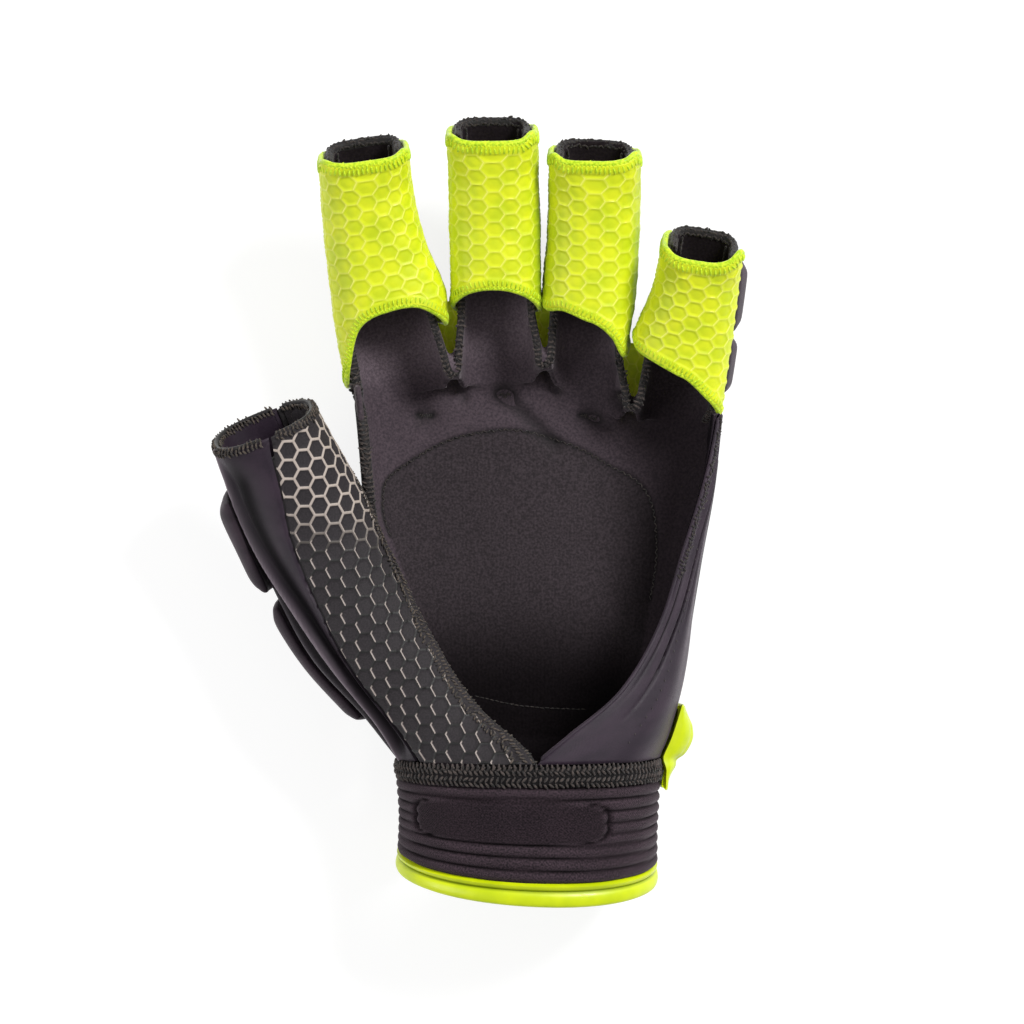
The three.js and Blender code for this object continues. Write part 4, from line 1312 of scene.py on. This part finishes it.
for pad in padTable:
    def padFace(u, v, pad=pad):
        along = lerp(*pad["y"], v)
        return handPoint(backAngle(lerp(*pad["x"], u), along), along)
    padPiece(pad["name"] + "_cushion", padFace, pads["hand"], gap, 0)
for finger in fingers:
    middle = lerp(finger["crotch"], finger["length"], 0.45)
    for part, start, end in (("near", finger["crotch"] + 2, middle - 0.8), ("far", middle + 0.8, finger["length"] - 2)):
        def padFace(u, v, finger=finger, start=start, end=end):
            return liningPoint(finger, lerp(*finger["pad"], u), lerp(start, end, v))
        padPiece(f"{finger['name']}_pad_{part}_cushion", padFace, finger["height"], gap)
for pad in thumbPads:
    def padFace(u, v, pad=pad):
        return thumbPoint(lerp(*pad["angles"], u), lerp(*pad["at"], v))
    padPiece(pad["name"] + "_cushion", padFace, pad["height"], pads["thumbGap"], 0)
print("pads ready")


# The cuff
cuff = dict(
    seam=dict(start=-0.012, end=0.185, cell=0.7, wall=2.6, bulge=0.9),
    band=dict(start=0.19, end=0.805, cell=0.55, wall=2.2, ribs=8, rib=1.0),
    plate=dict(angles=(54, 148), start=0.29, end=0.56, rise=0.95),
    binding=dict(start=0.8, end=1.01, cell=0.5, wall=3.2),
)


def cuffFace(part):
    return lambda u, v: cuffPoint(360 * u, lerp(part["start"], part["end"], 1 - v))


def bandParts(u, v):
    plate, band = cuff["plate"], cuff["band"]
    angle, at = 360 * np.mod(u, 1), lerp(band["start"], band["end"], 1 - v)
    middle, half = np.mean(plate["angles"]), (plate["angles"][1] - plate["angles"][0]) / 2
    level, tall = (plate["start"] + plate["end"]) / 2, (plate["end"] - plate["start"]) / 2
    outline = (np.abs((angle - middle) / half) ** 5 + np.abs((at - level) / tall) ** 5) ** (1 / 5)
    wander = 0.07 * np.sin(2 * np.pi * u * 2 + 1) + 0.03 * np.sin(2 * np.pi * u * 7)
    rib = np.abs(np.sin(np.pi * (band["ribs"] * v + wander)))
    inPlate = 1 - smoothstep(outline, 0.92, 0.98)
    rim = bell((outline - 1.02) / 0.03)
    return rib, inPlate, rim


def bandHeight(u, v):
    rib, inPlate, rim = bandParts(u, v)
    height = lerp(cuff["band"]["rib"] * rib ** 0.6, cuff["plate"]["rise"], inPlate) - 0.7 * rim
    return height + 0.15 * ripple(cuffFace(cuff["band"])(u, v), 12, 9)


# Painted shade in the ribs' grooves, over the raised plate and in the groove round it
def bandPaintedShade(u, v):
    rib, inPlate, rim = bandParts(u, v)
    return dict(groove=np.maximum(0.9 * bell(rib / 0.36) * (1 - inPlate) + 0.45 * inPlate, 0.85 * rim))


def bindingHeight(u, v):
    down = 1 - v
    lip = 0.9 * arch(down / 0.24, 0.5)
    body = 1.1 * arch((down - 0.3) / 0.74, 0.35)
    return 0.2 + np.where(down < 0.27, lip, body)


def cuffPiece(name, part, height, edge=0.4, attributes=None):
    settings = cuff[part]
    return clothPiece(name, cuffFace(settings), settings["cell"], settings["wall"], height, edge=edge, closed=True,
                      floor=0.0, attributes=attributes)


seamBand = cuffPiece("cuff_seam_band", "seam", lambda u, v: cuff["seam"]["bulge"] * arch(v, 0.5))
ribBand = cuffPiece("cuff_ribbed_band", "band", bandHeight, attributes=bandPaintedShade)
# Painted shade in the groove between the binding's lip and body
binding = cuffPiece("cuff_rubber_binding", "binding", bindingHeight, 0.5,
                    lambda u, v: dict(groove=0.8 * bell((1 - v - 0.27) / 0.05)))
ring = np.linspace(0, 1, 400)
braid = dict(length=1.7, width=0.68, height=0.8, loose=0.18, stray=0.1)
rows = []
for level, slant in ((1.0, 90), (0.86, 52), (0.64, 128), (0.33, 52), (0.1, 128)):
    row = dict(braid, slant=slant, rise=cuff["seam"]["bulge"] * arch(min(level, 0.9), 0.5) + 0.1)
    rows.append((seamOn(cuffFace(cuff["seam"]), ring, level, 1.3), row))
braids = stitchPiece("cuff_seam_braids", rows)
finishPiece(seamBand, "tape", tapeCloth, "cuff_seam")
finishPiece(ribBand, "ribbed_knit", knitCloth, "cuff_band")
finishPiece(binding, "lime_rubber", limeRubber, "cuff_binding")
finishPiece(braids, "tape", seamThread)
print("cuff ready")


# The wrist strap and its tab
strap = dict(angles=(213, 334), y=(-49.5, -34), wall=1.6, offset=0.8, flat=(0.083, 0.0155))
tab = dict(
    angles=(338, 366),
    y=[-57.5, -54.4, -51.5, -48.8, -46.2, -43, -39.8, -37.6, -35.6],
    out=[2.6, 3.2, 4.7, 4.7, 6, 6.4, 5.2, 3.2, 1.6],
)


def strapFace(u, v):
    return handPoint(lerp(*strap["angles"], u), lerp(*strap["y"], v))


def tabFace(u, v):
    return handPoint(lerp(*tab["angles"], u), lerp(tab["y"][0], tab["y"][-1], v))


def tabInner(v):
    return lerp(1.9, gap, smoothstep(v, 0.22, 0.4))


def tabHeight(u, v):
    out = rowAt(dict(y=tab["y"], out=tab["out"]), "y", lerp(tab["y"][0], tab["y"][-1], v))["out"]
    inner = tabInner(v)
    crease = -0.45 * bell((u - 0.72) / 0.05) * smoothstep(v, 0.05, 0.2) * (1 - smoothstep(v, 0.8, 0.95))
    return lerp(inner + 0.8, out, arch(u, 0.6)) + crease


strapTape = clothPiece("wrist_strap_tape", strapFace, 0.8, strap["wall"],
                       lambda u, v: np.full(len(u), strap["offset"] + strap["wall"]), floor=0.0)
tabPiece = clothPiece("strap_tab_moulding", tabFace, 0.35, 1.6, tabHeight, edge=0.5)
finishPiece(strapTape, "tape", tapeCloth, "wrist_strap")
finishPiece(tabPiece, "lime_rubber", limeRubber, "strap_tab")
print("strap and tab ready")


# Floor, light and camera
studio = dict(
    floor=dict(size=3, down=0.0005, tone=0.32, glow=0.8),
    world=0.36,
    camera=dict(at=(-0.0045, 0.012, 0.9), lens=122.3, sensor=36),
    lamps=[
        dict(at=(0.55, 0.5, 0.75), size=0.3, power=10.5),
        dict(at=(-0.75, -0.1, 0.55), size=0.5, power=3),
    ],
)


def makeFloor():
    settings = studio["floor"]
    bm = bmesh.new()
    bmesh.ops.create_grid(bm, x_segments=2, y_segments=2, size=settings["size"])
    mesh = bpy.data.meshes.new("floor")
    bm.to_mesh(mesh)
    bm.free()
    floor = newObject("floor", mesh)
    floor.location.z = -settings["down"]
    material, _, shader = newMaterial("paleFloor", 0.9, specular=0.1)
    shader.inputs["Base Color"].default_value = (*[settings["tone"]] * 3, 1)
    shader.inputs["Emission Color"].default_value = (1, 1, 1, 1)
    shader.inputs["Emission Strength"].default_value = settings["glow"]
    mesh.materials.append(material)
    floor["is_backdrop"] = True


def makeStudio():
    world = bpy.data.worlds.new("studio")
    bpy.context.scene.world = world
    world.use_nodes = True
    background = world.node_tree.nodes["Background"]
    background.inputs["Color"].default_value = (1, 1, 1, 1)
    background.inputs["Strength"].default_value = studio["world"]
    for number, lamp in enumerate(studio["lamps"]):
        data = bpy.data.lights.new(f"lamp{number}", "AREA")
        data.energy, data.size = lamp["power"], lamp["size"]
        light = bpy.data.objects.new(f"lamp{number}", data)
        light.location = lamp["at"]
        light.rotation_euler = (Vector((0, 0, 0.02)) - light.location).to_track_quat("-Z", "Y").to_euler()
        bpy.context.scene.collection.objects.link(light)
    bpy.context.scene.view_settings.view_transform = "Standard"


def makeCamera():
    data = bpy.data.cameras.new("camera")
    data.lens, data.sensor_width = studio["camera"]["lens"], studio["camera"]["sensor"]
    camera = bpy.data.objects.new("camera", data)
    camera.location = studio["camera"]["at"]
    bpy.context.scene.collection.objects.link(camera)
    bpy.context.scene.camera = camera


makeFloor()
makeStudio()
makeCamera()
triangles = sum(len(p.vertices) - 2 for piece in finished for p in piece.data.polygons)
print("pieces:", len(finished), "triangles:", triangles)

low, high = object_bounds()
